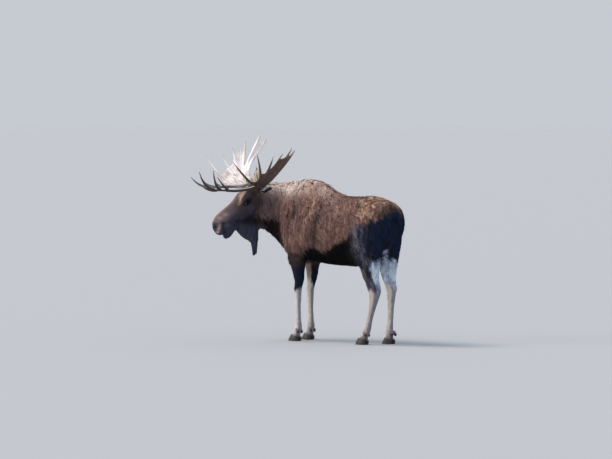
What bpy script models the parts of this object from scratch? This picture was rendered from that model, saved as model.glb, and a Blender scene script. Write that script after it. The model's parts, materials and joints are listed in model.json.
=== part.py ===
"""Bull moose (Alces alces), Alaska type, life size, standing with its head turned to its left.

Metres, +Z up. The animal faces -Y, its left side is +X, and its hooves rest on Z = 0.
The soft body is modelled whole from anatomical masses (trunk, shoulder, haunch, neck, head, jaw,
bell and four legs), fused by a voxel remesh, smoothed, thinned, and then parted into named
pieces by thin planar cuts. Antlers, eyes, ears, tail, hooves and dewclaws are pieces of their own.
"""

import math

import bmesh
import bpy
import numpy as np
from mathutils import Matrix, Vector

for old in list(bpy.data.objects):
    bpy.data.objects.remove(old, do_unlink=True)

# ---------------------------------------------------------------- driving dimensions
GAP = 0.0004  # clearance between neighbouring pieces
FLESH_VOXEL = 0.014
ANTLER_VOXEL = 0.0055
TIDY_ANGLE = 1.2  # degrees: flatter edges than this are dissolved after the cuts
FLESH_TRIANGLES = 2800
PALM_TRIANGLES = 715
BROW_TRIANGLES = 360
EAR_TRIANGLES = 130

HEAD_TURN = math.radians(55)  # head axis against the body axis, towards the left
HEAD_PITCH = math.radians(38)  # nose line below the horizontal
HEAD_ROLL = math.radians(5.5)  # right side up
CROWN = Vector((0.257, -1.176, 1.870))  # midpoint between the antler bases
POLL_BACK = 0.06  # the head axis starts this far behind the crown

EYE_RADIUS = 0.0225
EYE = (0.266, -0.024, 0.106)  # along the head axis, above it, to the side

COLOURS = {
    "coat": (0.115, 0.066, 0.040),
    "dark": (0.030, 0.021, 0.018),
    "stocking": (0.42, 0.34, 0.27),
    "antler": (0.23, 0.14, 0.085),
    "eye": (0.012, 0.008, 0.006),
    "hoof": (0.035, 0.030, 0.028),
}

# Trunk sections: distance ahead of mid-body, top, bottom, half width, height of the widest level,
# fullness above and below that level (2 is an ellipse, less is narrower).
TRUNK = (
    (-0.878, 1.575, 1.440, 0.050, 1.50, 2.0, 2.0),
    (-0.855, 1.640, 1.350, 0.120, 1.49, 2.1, 2.0),
    (-0.800, 1.700, 1.250, 0.185, 1.47, 2.1, 2.0),
    (-0.710, 1.753, 1.150, 0.238, 1.45, 2.1, 2.0),
    (-0.540, 1.793, 1.030, 0.275, 1.42, 2.1, 2.0),
    (-0.340, 1.790, 0.950, 0.290, 1.38, 2.0, 2.1),
    (-0.120, 1.788, 0.935, 0.305, 1.34, 1.9, 2.2),
    (0.080, 1.845, 0.945, 0.312, 1.32, 1.8, 2.3),
    (0.250, 1.945, 0.965, 0.310, 1.33, 1.65, 2.3),
    (0.400, 2.000, 0.985, 0.298, 1.36, 1.6, 2.3),
    (0.550, 1.995, 1.000, 0.280, 1.40, 1.65, 2.2),
    (0.700, 1.970, 1.040, 0.250, 1.44, 1.8, 2.1),
    (0.820, 1.945, 1.090, 0.205, 1.50, 1.9, 2.0),
    (0.870, 1.880, 1.180, 0.140, 1.53, 2.0, 2.0),
)

# Neck sections: left of and ahead of the body's middle, heading in degrees to the left,
# top, bottom, half width.
NECK = (
    (0.000, 0.600, 0, 1.955, 1.090, 0.215),
    (0.012, 0.790, 9, 1.948, 1.060, 0.195),
    (0.055, 0.930, 21, 1.950, 1.165, 0.168),
    (0.115, 1.040, 34, 1.952, 1.290, 0.148),
    (0.175, 1.115, 46, 1.930, 1.345, 0.132),
    (0.225, 1.155, 55, 1.860, 1.370, 0.112),
)

# Head sections along the head axis: station, top, bottom, half width, level of the widest point.
HEAD = (
    (-0.060, 0.030, -0.200, 0.075, -0.080),
    (0.000, 0.070, -0.235, 0.105, -0.065),
    (0.100, 0.103, -0.245, 0.118, -0.050),
    (0.200, 0.119, -0.240, 0.123, -0.030),
    (0.270, 0.110, -0.228, 0.122, -0.025),
    (0.350, 0.092, -0.215, 0.104, -0.035),
    (0.450, 0.082, -0.190, 0.085, -0.045),
    (0.540, 0.078, -0.168, 0.076, -0.050),
    (0.620, 0.075, -0.168, 0.079, -0.058),
    (0.680, 0.060, -0.176, 0.084, -0.064),
    (0.722, 0.028, -0.172, 0.080, -0.072),
    (0.752, -0.016, -0.156, 0.064, -0.082),
    (0.772, -0.050, -0.128, 0.036, -0.088),
)
JAW = (
    (0.140, -0.100, -0.215, 0.055, -0.150),
    (0.220, -0.100, -0.243, 0.070, -0.170),
    (0.330, -0.110, -0.248, 0.070, -0.175),
    (0.450, -0.115, -0.232, 0.060, -0.175),
    (0.560, -0.125, -0.228, 0.053, -0.178),
    (0.630, -0.135, -0.255, 0.055, -0.192),
    (0.685, -0.150, -0.254, 0.049, -0.200),
    (0.720, -0.172, -0.234, 0.029, -0.203),
)

# Bell (the flap of skin under the throat): height below the crown, front and back reach, half width.
BELL = (
    (-0.400, 0.225, -0.050, 0.075),
    (-0.470, 0.236, -0.054, 0.070),
    (-0.530, 0.221, -0.058, 0.062),
    (-0.575, 0.186, -0.059, 0.055),
    (-0.620, 0.130, -0.057, 0.046),
    (-0.652, 0.072, -0.054, 0.036),
    (-0.685, 0.034, -0.052, 0.027),
    (-0.755, 0.024, -0.050, 0.021),
    (-0.825, 0.014, -0.046, 0.011),
)

# Leg sections: height, left or right of the middle, ahead of mid-body, half width, half depth.
FORELEG = (
    (1.500, 0.150, 0.540, 0.070, 0.150),
    (1.350, 0.185, 0.555, 0.090, 0.175),
    (1.200, 0.190, 0.555, 0.095, 0.160),
    (1.050, 0.178, 0.558, 0.084, 0.138),
    (0.905, 0.162, 0.552, 0.066, 0.098),
    (0.760, 0.150, 0.545, 0.051, 0.068),
    (0.680, 0.146, 0.560, 0.045, 0.053),
    (0.630, 0.145, 0.570, 0.045, 0.050),
    (0.560, 0.145, 0.566, 0.036, 0.042),
    (0.400, 0.145, 0.565, 0.030, 0.035),
    (0.250, 0.146, 0.560, 0.031, 0.037),
    (0.175, 0.148, 0.560, 0.042, 0.047),
    (0.120, 0.149, 0.574, 0.043, 0.043),
    (0.075, 0.150, 0.592, 0.050, 0.050),
    (0.040, 0.150, 0.603, 0.052, 0.056),
)
HIND_NEAR = (
    (1.600, 0.130, -0.520, 0.110, 0.200),
    (1.400, 0.150, -0.545, 0.145, 0.255),
    (1.250, 0.158, -0.560, 0.138, 0.245),
    (1.130, 0.160, -0.568, 0.118, 0.215),
    (1.030, 0.162, -0.578, 0.096, 0.178),
    (0.930, 0.162, -0.592, 0.076, 0.146),
    (0.820, 0.155, -0.605, 0.060, 0.118),
    (0.740, 0.151, -0.632, 0.050, 0.106),
    (0.670, 0.150, -0.655, 0.047, 0.102),
    (0.590, 0.149, -0.655, 0.040, 0.078),
    (0.440, 0.148, -0.618, 0.034, 0.050),
    (0.290, 0.147, -0.575, 0.033, 0.038),
    (0.180, 0.147, -0.542, 0.043, 0.045),
    (0.120, 0.148, -0.515, 0.043, 0.043),
    (0.075, 0.150, -0.488, 0.050, 0.050),
    (0.040, 0.150, -0.473, 0.052, 0.056),
)
# How far behind the left hind leg the right one stands, by height.
HIND_FAR_BACK = ((0.0, -0.185), (0.18, -0.103), (0.29, -0.085), (0.44, -0.048), (0.59, -0.016), (0.85, -0.022), (1.25, 0.0))
# It is a little straighter and slimmer about the hock: share of the left leg's depth, by height.
HIND_FAR_SLIM = ((0.20, 1.0), (0.44, 0.84), (0.62, 0.74), (0.80, 0.84), (1.05, 0.95), (1.30, 1.0))
FORE_FAR_AHEAD = 0.050

CORONET_FRONT = 0.078  # height of the hairline at the toe side
CORONET_SLOPE = math.radians(17)  # it falls towards the heel
TOE_SPLIT = 0.006  # half the space between the two claws


# ---------------------------------------------------------------- modelling helpers
collection = bpy.data.collections.new("bull_moose")
helpers = bpy.data.collections.new("cutters")
bpy.context.scene.collection.children.link(collection)
bpy.context.scene.collection.children.link(helpers)


def material(name, roughness=0.8):
    mat = bpy.data.materials.new(name)
    mat.use_nodes = True
    shader = mat.node_tree.nodes["Principled BSDF"]
    shader.inputs["Base Color"].default_value = (*COLOURS[name], 1)
    shader.inputs["Roughness"].default_value = roughness
    return mat


def link(obj, where):
    for c in list(obj.users_collection):
        c.objects.unlink(obj)
    where.objects.link(obj)
    return obj


def new_object(name, bm, where=helpers):
    mesh = bpy.data.meshes.new(name)
    bm.to_mesh(mesh)
    bm.free()
    obj = bpy.data.objects.new(name, mesh)
    where.objects.link(obj)
    if where is helpers:
        obj.hide_render = True
        obj.display_type = "WIRE"
    return obj


def spline(table, steps):
    """A Catmull-Rom curve through the rows of a table, with this many steps between rows."""
    rows = np.array(table, float)
    ends = np.vstack([2 * rows[0] - rows[1], rows, 2 * rows[-1] - rows[-2]])
    out = []
    for i in range(len(rows) - 1):
        a, b, c, d = ends[i : i + 4]
        for k in range(steps):
            t = k / steps
            out.append(0.5 * (2 * b + (c - a) * t + (2 * a - 5 * b + 4 * c - d) * t * t + (3 * b - a - 3 * c + d) * t**3))
    out.append(rows[-1])
    return out


def section(centre, side, up, half, above, below, full_up=2.0, full_down=2.0, count=28):
    """One closed section: half wide, reaching above and below its centre."""
    points = []
    for k in range(count):
        a = 2 * math.pi * k / count
        c, s = math.cos(a), math.sin(a)
        power = 2 / (full_up if s >= 0 else full_down)
        x = half * math.copysign(abs(c) ** power, c)
        y = (above if s >= 0 else below) * math.copysign(abs(s) ** power, s)
        points.append(centre + side * x + up * y)
    return points


def loft(name, sections):
    """A closed skin over sections of unlike shape, capped at both ends."""
    bm = bmesh.new()
    rings = [[bm.verts.new(p) for p in ring] for ring in sections]
    for low, high in zip(rings, rings[1:]):
        for k in range(len(low)):
            n = (k + 1) % len(low)
            bm.faces.new((low[k], low[n], high[n], high[k]))
    bm.faces.new(list(reversed(rings[0])))
    bm.faces.new(rings[-1])
    bmesh.ops.recalc_face_normals(bm, faces=bm.faces)
    return new_object(name, bm)


def ball(name, centre, radii, turn=None, segments=24, rings=14):
    bm = bmesh.new()
    bmesh.ops.create_uvsphere(bm, u_segments=segments, v_segments=rings, radius=1.0)
    bmesh.ops.scale(bm, vec=radii, verts=bm.verts)
    if turn is not None:
        bmesh.ops.transform(bm, matrix=turn.to_4x4(), verts=bm.verts)
    bmesh.ops.translate(bm, vec=centre, verts=bm.verts)
    return new_object(name, bm)


def block(name, centre, axes, sizes):
    """A box with its own axes: centre, three unit axes, three full sizes."""
    bm = bmesh.new()
    bmesh.ops.create_cube(bm, size=1.0)
    bmesh.ops.scale(bm, vec=sizes, verts=bm.verts)
    turn = Matrix((axes[0], axes[1], axes[2])).transposed()
    bmesh.ops.transform(bm, matrix=turn.to_4x4(), verts=bm.verts)
    bmesh.ops.translate(bm, vec=centre, verts=bm.verts)
    bmesh.ops.recalc_face_normals(bm, faces=bm.faces)
    return new_object(name, bm)


def rod(name, points, radii, resolution=5, steps=6):
    """A tapered round bar along points: a bevelled curve, turned into a mesh."""
    data = bpy.data.curves.new(name, "CURVE")
    data.dimensions = "3D"
    data.bevel_depth = 1.0
    data.bevel_resolution = resolution
    data.use_fill_caps = True
    path = spline([(*p, r) for p, r in zip(points, radii)], steps)
    line = data.splines.new("POLY")
    line.points.add(len(path) - 1)
    for point, row in zip(line.points, path):
        point.co = (row[0], row[1], row[2], 1)
        point.radius = max(row[3], 0.002)
    obj = bpy.data.objects.new(name, data)
    helpers.objects.link(obj)
    mesh = bpy.data.meshes.new_from_object(obj.evaluated_get(bpy.context.evaluated_depsgraph_get()))
    bpy.data.objects.remove(obj)
    bm = bmesh.new()
    bm.from_mesh(mesh)
    bmesh.ops.remove_doubles(bm, verts=bm.verts, dist=0.0001)
    bmesh.ops.recalc_face_normals(bm, faces=bm.faces)
    return new_object(name, bm)


def apply_modifiers(obj):
    graph = bpy.context.evaluated_depsgraph_get()
    mesh = bpy.data.meshes.new_from_object(obj.evaluated_get(graph))
    obj.modifiers.clear()
    obj.data = mesh


def fuse(name, masses, voxel, smooth, triangles):
    """The masses joined into one closed skin by a voxel remesh, smoothed and thinned."""
    bm = bmesh.new()
    for mass in masses:
        bm.from_mesh(mass.data)
        bpy.data.objects.remove(mass)
    obj = new_object(name, bm)
    remesh = obj.modifiers.new("remesh", "REMESH")
    remesh.mode = "VOXEL"
    remesh.voxel_size = voxel
    soften = obj.modifiers.new("smooth", "SMOOTH")
    soften.factor = 0.5
    soften.iterations = smooth
    apply_modifiers(obj)
    bm = bmesh.new()
    bm.from_mesh(obj.data)
    bmesh.ops.triangulate(bm, faces=bm.faces)
    count = len(bm.faces)
    bm.to_mesh(obj.data)
    bm.free()
    thin = obj.modifiers.new("decimate", "DECIMATE")
    thin.ratio = triangles / count
    apply_modifiers(obj)
    return obj


def boolean(obj, cutter, operation="DIFFERENCE"):
    step = obj.modifiers.new("cut", "BOOLEAN")
    step.operation = operation
    step.solver = "EXACT"
    step.object = cutter
    apply_modifiers(obj)
    bpy.data.objects.remove(cutter)
    return obj


def finish(obj, name, mat, smooth_shade=True):
    obj.name = name
    obj.data.name = name
    link(obj, collection)
    obj.hide_render = False
    obj.display_type = "TEXTURED"
    obj.data.materials.clear()
    obj.data.materials.append(mat)
    for polygon in obj.data.polygons:
        polygon.use_smooth = smooth_shade
    return obj


# ---------------------------------------------------------------- head frame
AHEAD = Vector((math.sin(HEAD_TURN), -math.cos(HEAD_TURN), 0))
LEFT_LEVEL = Vector((math.cos(HEAD_TURN), math.sin(HEAD_TURN), 0))
UP = Vector((0, 0, 1))
LEFT = LEFT_LEVEL * math.cos(HEAD_ROLL) - UP * math.sin(HEAD_ROLL)
HEAD_UP = UP * math.cos(HEAD_ROLL) + LEFT_LEVEL * math.sin(HEAD_ROLL)
AXIS = AHEAD * math.cos(HEAD_PITCH) - HEAD_UP * math.sin(HEAD_PITCH)
NORMAL = AHEAD * math.sin(HEAD_PITCH) + HEAD_UP * math.cos(HEAD_PITCH)


def crown(ahead, left, above):
    """A point in the level head frame, from the crown."""
    return CROWN + AHEAD * ahead + LEFT * left + HEAD_UP * above


def face(station, above, left=0.0):
    """A point by the head axis: distance from the poll, above the axis, to the left."""
    return crown(-POLL_BACK, 0, 0) + AXIS * station + NORMAL * above + LEFT * left


def body_point(left, ahead, height):
    return Vector((left, -ahead, height))


# ---------------------------------------------------------------- flesh masses
def trunk_mass():
    rings = []
    for ahead, top, bottom, half, level, up, down in spline(TRUNK, 4):
        centre = body_point(0, ahead, level)
        rings.append(section(centre, Vector((1, 0, 0)), UP, half, top - level, level - bottom, up, down, 36))
    return loft("trunk_mass", rings)


def neck_mass():
    rings = []
    for left, ahead, heading, top, bottom, half in spline(NECK, 4):
        turn = math.radians(heading)
        side = Vector((math.cos(turn), math.sin(turn), 0))
        level = bottom + 0.52 * (top - bottom)
        rings.append(section(body_point(left, ahead, level), side, UP, half, top - level, level - bottom, 2.0, 1.9, 32))
    return loft("neck_mass", rings)


def head_mass(name, table, full_up, full_down):
    rings = []
    for station, top, bottom, half, level in spline(table, 4):
        centre = face(station, level)
        rings.append(section(centre, LEFT, NORMAL, half, top - level, level - bottom, full_up, full_down, 32))
    return loft(name, rings)


def bell_mass():
    rings = []
    for height, front, back, half in spline(BELL, 3):
        centre = crown(0.5 * (front + back), 0, height)
        rings.append(section(centre, AHEAD, LEFT, 0.5 * (front - back), half, half, 2.2, 2.2, 20))
    return loft("bell_mass", rings)


def far_back(height):
    heights, shifts = zip(*HIND_FAR_BACK)
    return float(np.interp(height, heights, shifts))


def leg_mass(name, table, sign, shift):
    rings = []
    for height, side, ahead, half, depth in spline(table, 3):
        if name == "hind_right":
            depth *= float(np.interp(height, *zip(*HIND_FAR_SLIM)))
        centre = body_point(sign * side, ahead + shift(height), height)
        rings.append(section(centre, Vector((0, -1, 0)), Vector((sign, 0, 0)), depth, half, half, 2.1, 2.1, 22))
    return loft(name, rings)


LEGS = {
    "fore_left": (FORELEG, 1, lambda z: 0.0),
    "fore_right": (FORELEG, -1, lambda z: FORE_FAR_AHEAD),
    "hind_left": (HIND_NEAR, 1, lambda z: 0.0),
    "hind_right": (HIND_NEAR, -1, far_back),
}


def flesh_masses():
    masses = [trunk_mass(), neck_mass(), bell_mass()]
    masses.append(head_mass("head_mass", HEAD, 2.1, 2.3))
    masses.append(head_mass("jaw_mass", JAW, 2.2, 2.2))
    for name, (table, sign, shift) in LEGS.items():
        masses.append(leg_mass(name, table, sign, shift))
    for sign in (1, -1):
        # shoulder blade and upper arm, haunch, flank fold, hip
        masses.append(ball("shoulder", body_point(sign * 0.168, 0.54, 1.44), (0.108, 0.225, 0.37), Matrix.Rotation(math.radians(-10), 3, "X") @ Matrix.Rotation(math.radians(-9 * sign), 3, "Y")))
        masses.append(ball("haunch", body_point(sign * 0.148, -0.632, 1.455), (0.126, 0.235, 0.275), Matrix.Rotation(math.radians(-8), 3, "X")))
        masses.append(ball("flank", body_point(sign * 0.185, -0.36, 1.16), (0.075, 0.150, 0.230), Matrix.Rotation(math.radians(28), 3, "X")))
        masses.append(ball("barrel", body_point(sign * 0.150, 0.08, 1.32), (0.165, 0.420, 0.320)))
        # eye socket rim, cheek muscle, nostril wing, stub under the antler
        masses.append(ball("orbit", face(EYE[0] - 0.004, EYE[1] + 0.016, sign * 0.092), (0.036, 0.036, 0.036)))
        masses.append(ball("cheek", face(0.230, -0.130, sign * 0.068), (0.075, 0.075, 0.095)))
        masses.append(ball("gullet", crown(0.000, sign * 0.045, -0.300), (0.075, 0.075, 0.100)))
        masses.append(ball("nostril_wing", face(0.690, -0.030, sign * 0.058), (0.036, 0.036, 0.036)))
        masses.append(rod("pedicle", [crown(-0.005, sign * 0.05, -0.045), crown(0.0, sign * 0.085, -0.012), crown(0.0, sign * 0.135, 0.012)], [0.055, 0.046, 0.036]))
    # throat, brisket and the sheath on the belly line
    masses.append(ball("throat", crown(0.015, 0, -0.395), (0.080, 0.085, 0.130)))
    masses.append(ball("brisket", body_point(0, 0.735, 1.150), (0.165, 0.125, 0.130)))
    masses.append(ball("sheath", body_point(0, -0.20, 0.985), (0.055, 0.200, 0.058)))
    return masses


def islands(bm):
    """The mesh's separate bodies, as lists of faces."""
    left = set(bm.faces)
    found = []
    while left:
        stack = [left.pop()]
        group = list(stack)
        while stack:
            for edge in stack.pop().edges:
                for other in edge.link_faces:
                    if other in left:
                        left.remove(other)
                        stack.append(other)
                        group.append(other)
        found.append(group)
    return found


flesh = fuse("flesh", flesh_masses(), FLESH_VOXEL, 10, FLESH_TRIANGLES)


# ---------------------------------------------------------------- antlers
def bezier(a, b, c, t):
    return a * (1 - t) ** 2 + b * 2 * t * (1 - t) + c * t**2


def frame_point(row, sign):
    return crown(row[0], sign * row[1], row[2])


def palm_web(name, ribs, sign, thickness, bays, columns=6, rows=9):
    """The blade between neighbouring ribs. Each rib is root, middle, base; its free edge dips in a bay between ribs."""
    flat = [[value for point in rib for value in point] for rib in ribs]
    lines = spline(flat, columns)
    grid = []
    for k, line in enumerate(lines):
        a, b, c = (Vector(line[i : i + 3]) for i in (0, 3, 6))
        between = (k % columns) / columns
        index = min(k // columns, len(bays) - 1)
        end = 1 - bays[index] * math.sin(math.pi * between) ** 0.8
        column = []
        for r in range(rows + 1):
            p = bezier(a, b, c, end * r / rows)
            column.append(frame_point(p, sign))
        grid.append(column)
    bm = bmesh.new()
    top, bottom = [], []
    for i, column in enumerate(grid):
        ups, downs = [], []
        for j, p in enumerate(column):
            along = grid[min(i + 1, len(grid) - 1)][j] - grid[max(i - 1, 0)][j]
            across = column[min(j + 1, rows)] - column[max(j - 1, 0)]
            normal = along.cross(across)
            normal = normal.normalized() if normal.length > 1e-9 else UP
            ups.append(bm.verts.new(p + normal * thickness / 2))
            downs.append(bm.verts.new(p - normal * thickness / 2))
        top.append(ups)
        bottom.append(downs)
    last = len(grid) - 1
    for i in range(last):
        for j in range(rows):
            bm.faces.new((top[i][j], top[i + 1][j], top[i + 1][j + 1], top[i][j + 1]))
            bm.faces.new((bottom[i][j], bottom[i][j + 1], bottom[i + 1][j + 1], bottom[i + 1][j]))
        bm.faces.new((top[i][0], bottom[i][0], bottom[i + 1][0], top[i + 1][0]))
        bm.faces.new((top[i][rows], top[i + 1][rows], bottom[i + 1][rows], bottom[i][rows]))
    for j in range(rows):
        bm.faces.new((top[0][j], top[0][j + 1], bottom[0][j + 1], bottom[0][j]))
        bm.faces.new((top[last][j], bottom[last][j], bottom[last][j + 1], top[last][j + 1]))
    bmesh.ops.recalc_face_normals(bm, faces=bm.faces)
    return new_object(name, bm)


def tine(name, rib, tip, sign, thick, bend=0.0):
    """A point growing out of a rib's end, tapering to its tip."""
    a, b, c = (Vector(p) for p in rib)
    t = Vector(tip)
    start = bezier(a, b, c, 0.62)
    control = c + (c - start) * 0.35 + Vector((0, 0, -bend))
    points = [bezier(start, control, t, k / 4) for k in range(5)]
    radii = [thick * k for k in (0.85, 1.0, 0.86, 0.58, 0.22)]
    return rod(name, [frame_point(p, sign) for p in points], radii)


# Each rib of a palm: root on the beam, middle, base of its point, the point's tip (ahead, out, up).
PALM_LEFT = (
    ((0.030, 0.235, 0.055), (0.110, 0.300, 0.080), (0.165, 0.365, 0.128), (0.432, 0.636, 0.391)),
    ((0.020, 0.240, 0.075), (0.020, 0.330, 0.120), (0.022, 0.420, 0.222), (0.127, 0.590, 0.498)),
    ((0.000, 0.240, 0.070), (-0.030, 0.350, 0.130), (-0.060, 0.470, 0.285), (-0.078, 0.620, 0.460)),
    ((-0.015, 0.235, 0.060), (-0.075, 0.350, 0.130), (-0.168, 0.550, 0.424), (-0.192, 0.622, 0.492)),
    ((-0.030, 0.225, 0.050), (-0.125, 0.365, 0.135), (-0.274, 0.580, 0.480), (-0.305, 0.605, 0.566)),
    ((-0.045, 0.210, 0.040), (-0.150, 0.370, 0.125), (-0.310, 0.595, 0.472), (-0.335, 0.632, 0.540)),
)
PALM_LEFT_BAYS = (0.52, 0.10, 0.12, 0.06, 0.03)
PALM_RIGHT = (
    ((0.070, 0.215, -0.012), (0.185, 0.285, -0.050), (0.290, 0.370, 0.000), (0.345, 0.430, 0.085)),
    ((0.065, 0.225, -0.005), (0.200, 0.335, -0.025), (0.350, 0.485, 0.105), (0.494, 0.640, 0.352)),
    ((0.055, 0.235, 0.025), (0.145, 0.375, 0.030), (0.232, 0.525, 0.205), (0.274, 0.600, 0.355)),
    ((0.042, 0.240, 0.055), (0.106, 0.395, 0.080), (0.142, 0.570, 0.352), (0.162, 0.592, 0.440)),
    ((0.034, 0.240, 0.062), (0.096, 0.398, 0.092), (0.048, 0.588, 0.378), (0.030, 0.602, 0.424)),
    ((0.026, 0.240, 0.066), (0.088, 0.395, 0.105), (0.002, 0.592, 0.405), (-0.016, 0.620, 0.524)),
    ((0.018, 0.235, 0.062), (0.106, 0.388, 0.132), (-0.160, 0.590, 0.520), (-0.200, 0.600, 0.584)),
    ((0.010, 0.225, 0.050), (0.058, 0.380, 0.208), (-0.233, 0.590, 0.468), (-0.278, 0.605, 0.545)),
)
PALM_RIGHT_BAYS = (0.06, 0.10, 0.11, 0.02, 0.01, 0.43, 0.03)
BEAM = ((0.000, 0.128, 0.010), (0.004, 0.175, 0.032), (0.006, 0.215, 0.050), (0.000, 0.262, 0.075))
BEAM_RADII = (0.039, 0.034, 0.036, 0.034)
BROW_STEM = ((0.040, 0.185, 0.026), (0.130, 0.205, 0.006), (0.270, 0.205, -0.012), (0.400, 0.192, -0.012))
BROW_RADII = (0.024, 0.020, 0.017, 0.016)
BROW_LEFT = (
    ((0.330, 0.200, -0.012), (0.370, 0.205, -0.005), (0.415, 0.212, 0.018), (0.530, 0.240, 0.162)),
    ((0.380, 0.195, -0.012), (0.450, 0.195, -0.010), (0.525, 0.195, 0.010), (0.575, 0.205, 0.240)),
    ((0.390, 0.190, -0.014), (0.500, 0.180, -0.014), (0.640, 0.165, 0.010), (0.738, 0.150, 0.216)),
    ((0.385, 0.185, -0.016), (0.480, 0.168, -0.018), (0.600, 0.145, -0.012), (0.700, 0.085, 0.045)),
)
BROW_RIGHT = (
    ((0.330, 0.205, -0.012), (0.380, 0.215, -0.005), (0.430, 0.235, 0.015), (0.461, 0.270, 0.079)),
    ((0.380, 0.195, -0.012), (0.450, 0.200, -0.010), (0.556, 0.205, 0.006), (0.620, 0.222, 0.096)),
    ((0.390, 0.190, -0.014), (0.500, 0.180, -0.016), (0.630, 0.165, -0.004), (0.775, 0.165, 0.118)),
    ((0.385, 0.185, -0.016), (0.460, 0.165, -0.020), (0.560, 0.140, -0.020), (0.650, 0.070, 0.035)),
)
BROW_BAYS = (0.30, 0.25, 0.25)
BURR_RADIUS = 0.047
# side, then ribs, bays and the points' thickness of the main palm and of the brow palm
ANTLERS = {
    "left": (1, PALM_LEFT, PALM_LEFT_BAYS, (0.0165, 0.0165, 0.0165, 0.0150, 0.0150, 0.0150), BROW_LEFT, (0.0150, 0.0185, 0.0185, 0.0150)),
    "right": (-1, PALM_RIGHT, PALM_RIGHT_BAYS, (0.0150, 0.0165, 0.0155, 0.0150, 0.0130, 0.0180, 0.0180, 0.0170), BROW_RIGHT, (0.0140, 0.0150, 0.0150, 0.0140)),
}


def antler(side):
    """One antler: its beam and main palm, and its brow palm, parted at the fork."""
    sign, palm, bays, points, brow, brow_points = ANTLERS[side]
    masses = [rod("beam", [frame_point(p, sign) for p in BEAM], BEAM_RADII)]
    burr = frame_point(BEAM[0], sign)
    along = (frame_point(BEAM[1], sign) - burr).normalized()
    masses.append(rod("burr", [burr + along * d for d in (-0.004, 0.004, 0.012, 0.020)], (0.040, BURR_RADIUS, BURR_RADIUS, 0.036)))
    ribs = [rib[:3] for rib in palm]
    masses.append(palm_web("web", ribs, sign, 0.017, bays))
    for rib, thick in zip(palm, points):
        masses.append(tine("point", rib[:3], rib[3], sign, thick, 0.012))
        masses.append(rod("vein", [frame_point(bezier(*(Vector(p) for p in rib[:3]), t), sign) for t in (0.0, 0.4, 0.8, 1.0)], (0.022, 0.014, 0.011, 0.011)))
    masses.append(rod("stem", [frame_point(p, sign) for p in BROW_STEM], BROW_RADII))
    masses.append(palm_web("brow_web", [rib[:3] for rib in brow], sign, 0.015, BROW_BAYS, 5, 6))
    for rib, thick in zip(brow, brow_points):
        masses.append(tine("brow_point", rib[:3], rib[3], sign, thick, 0.010))
    whole = fuse("antler_" + side, masses, ANTLER_VOXEL, 2, PALM_TRIANGLES + BROW_TRIANGLES)
    # flat burr face, clear of the stub that the flesh keeps
    foot = burr - along * 0.001
    square = along.cross(UP).normalized()
    axes = (square, along.cross(square), along)
    boolean(whole, block("trim", foot - along * 0.05, axes, (0.16, 0.16, 0.10)))
    # the fork between main palm and brow palm
    fork = frame_point((0.120, 0.203, 0.008) if sign > 0 else (0.200, 0.206, -0.006), sign)
    out = (frame_point(BROW_STEM[2], sign) - frame_point(BROW_STEM[0], sign)).normalized()
    square = out.cross(UP).normalized()
    axes = (square, out.cross(square), out)
    return whole, fork, axes, foot, along


# ---------------------------------------------------------------- materials
coat = material("coat")
dark = material("dark")
stocking = material("stocking")
bone = material("antler", 0.55)
eye_black = material("eye", 0.08)
horn = material("hoof", 0.45)


def split_bodies(obj):
    """Each separate body of the mesh as an object of its own, largest first."""
    bm = bmesh.new()
    bm.from_mesh(obj.data)
    bm.faces.ensure_lookup_table()
    groups = islands(bm)
    made = []
    for group in groups:
        if len(group) < 8:
            continue  # a flat crumb left at a tip by the thinning
        keep = {f.index for f in group}
        other = bmesh.new()
        other.from_mesh(obj.data)
        other.faces.ensure_lookup_table()
        bmesh.ops.delete(other, geom=[f for f in other.faces if f.index not in keep], context="FACES")
        made.append(new_object("body", other))
    bm.free()
    bpy.data.objects.remove(obj)
    return made


def middle(obj):
    box = [Vector(c) for c in obj.bound_box]
    return sum(box, Vector()) / 8


for side in ANTLERS:
    whole, fork, axes, foot, along = antler(side)
    # a small slab across the brow stem only
    boolean(whole, block("fork_cut", fork, axes, (0.070, 0.070, GAP)))
    pieces = split_bodies(whole)
    assert len(pieces) == 2, f"{side} antler made {len(pieces)} bodies"
    reach = [(AHEAD.dot(middle(o) - CROWN), o) for o in pieces]
    reach.sort(key=lambda r: r[0])
    finish(reach[0][1], f"antler_{side}_palm", bone)
    finish(reach[1][1], f"antler_{side}_brow", bone)
    # the stub of the flesh ends flat under the burr
    square = along.cross(UP).normalized()
    boolean(flesh, block("stub_trim", foot + along * (0.05 - GAP), (square, along.cross(square), along), (0.16, 0.16, 0.10)))


# ---------------------------------------------------------------- eyes
for side, sign in (("left", 1), ("right", -1)):
    centre = face(EYE[0], EYE[1], sign * EYE[2])
    boolean(flesh, ball("socket", centre, (EYE_RADIUS + 0.0016,) * 3, None, 12, 8))
    bm = bmesh.new()
    bmesh.ops.create_uvsphere(bm, u_segments=12, v_segments=8, radius=EYE_RADIUS)
    bmesh.ops.translate(bm, vec=centre, verts=bm.verts)
    finish(new_object("eye", bm), f"eye_{side}", eye_black)


# ---------------------------------------------------------------- ears
EAR_LENGTH = 0.235
EAR_WIDTH = {"left": 0.056, "right": 0.063}  # half width of the leaf
# base and tip in the crown's frame, and the way the open side faces
EARS = {
    "left": ((-0.070, 0.098, -0.030), (-0.130, 0.335, 0.025), (0.55, 0.10, 0.85)),
    "right": ((-0.060, -0.100, -0.020), (-0.068, -0.194, 0.212), (0.55, -0.83, 0.0)),
}


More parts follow.
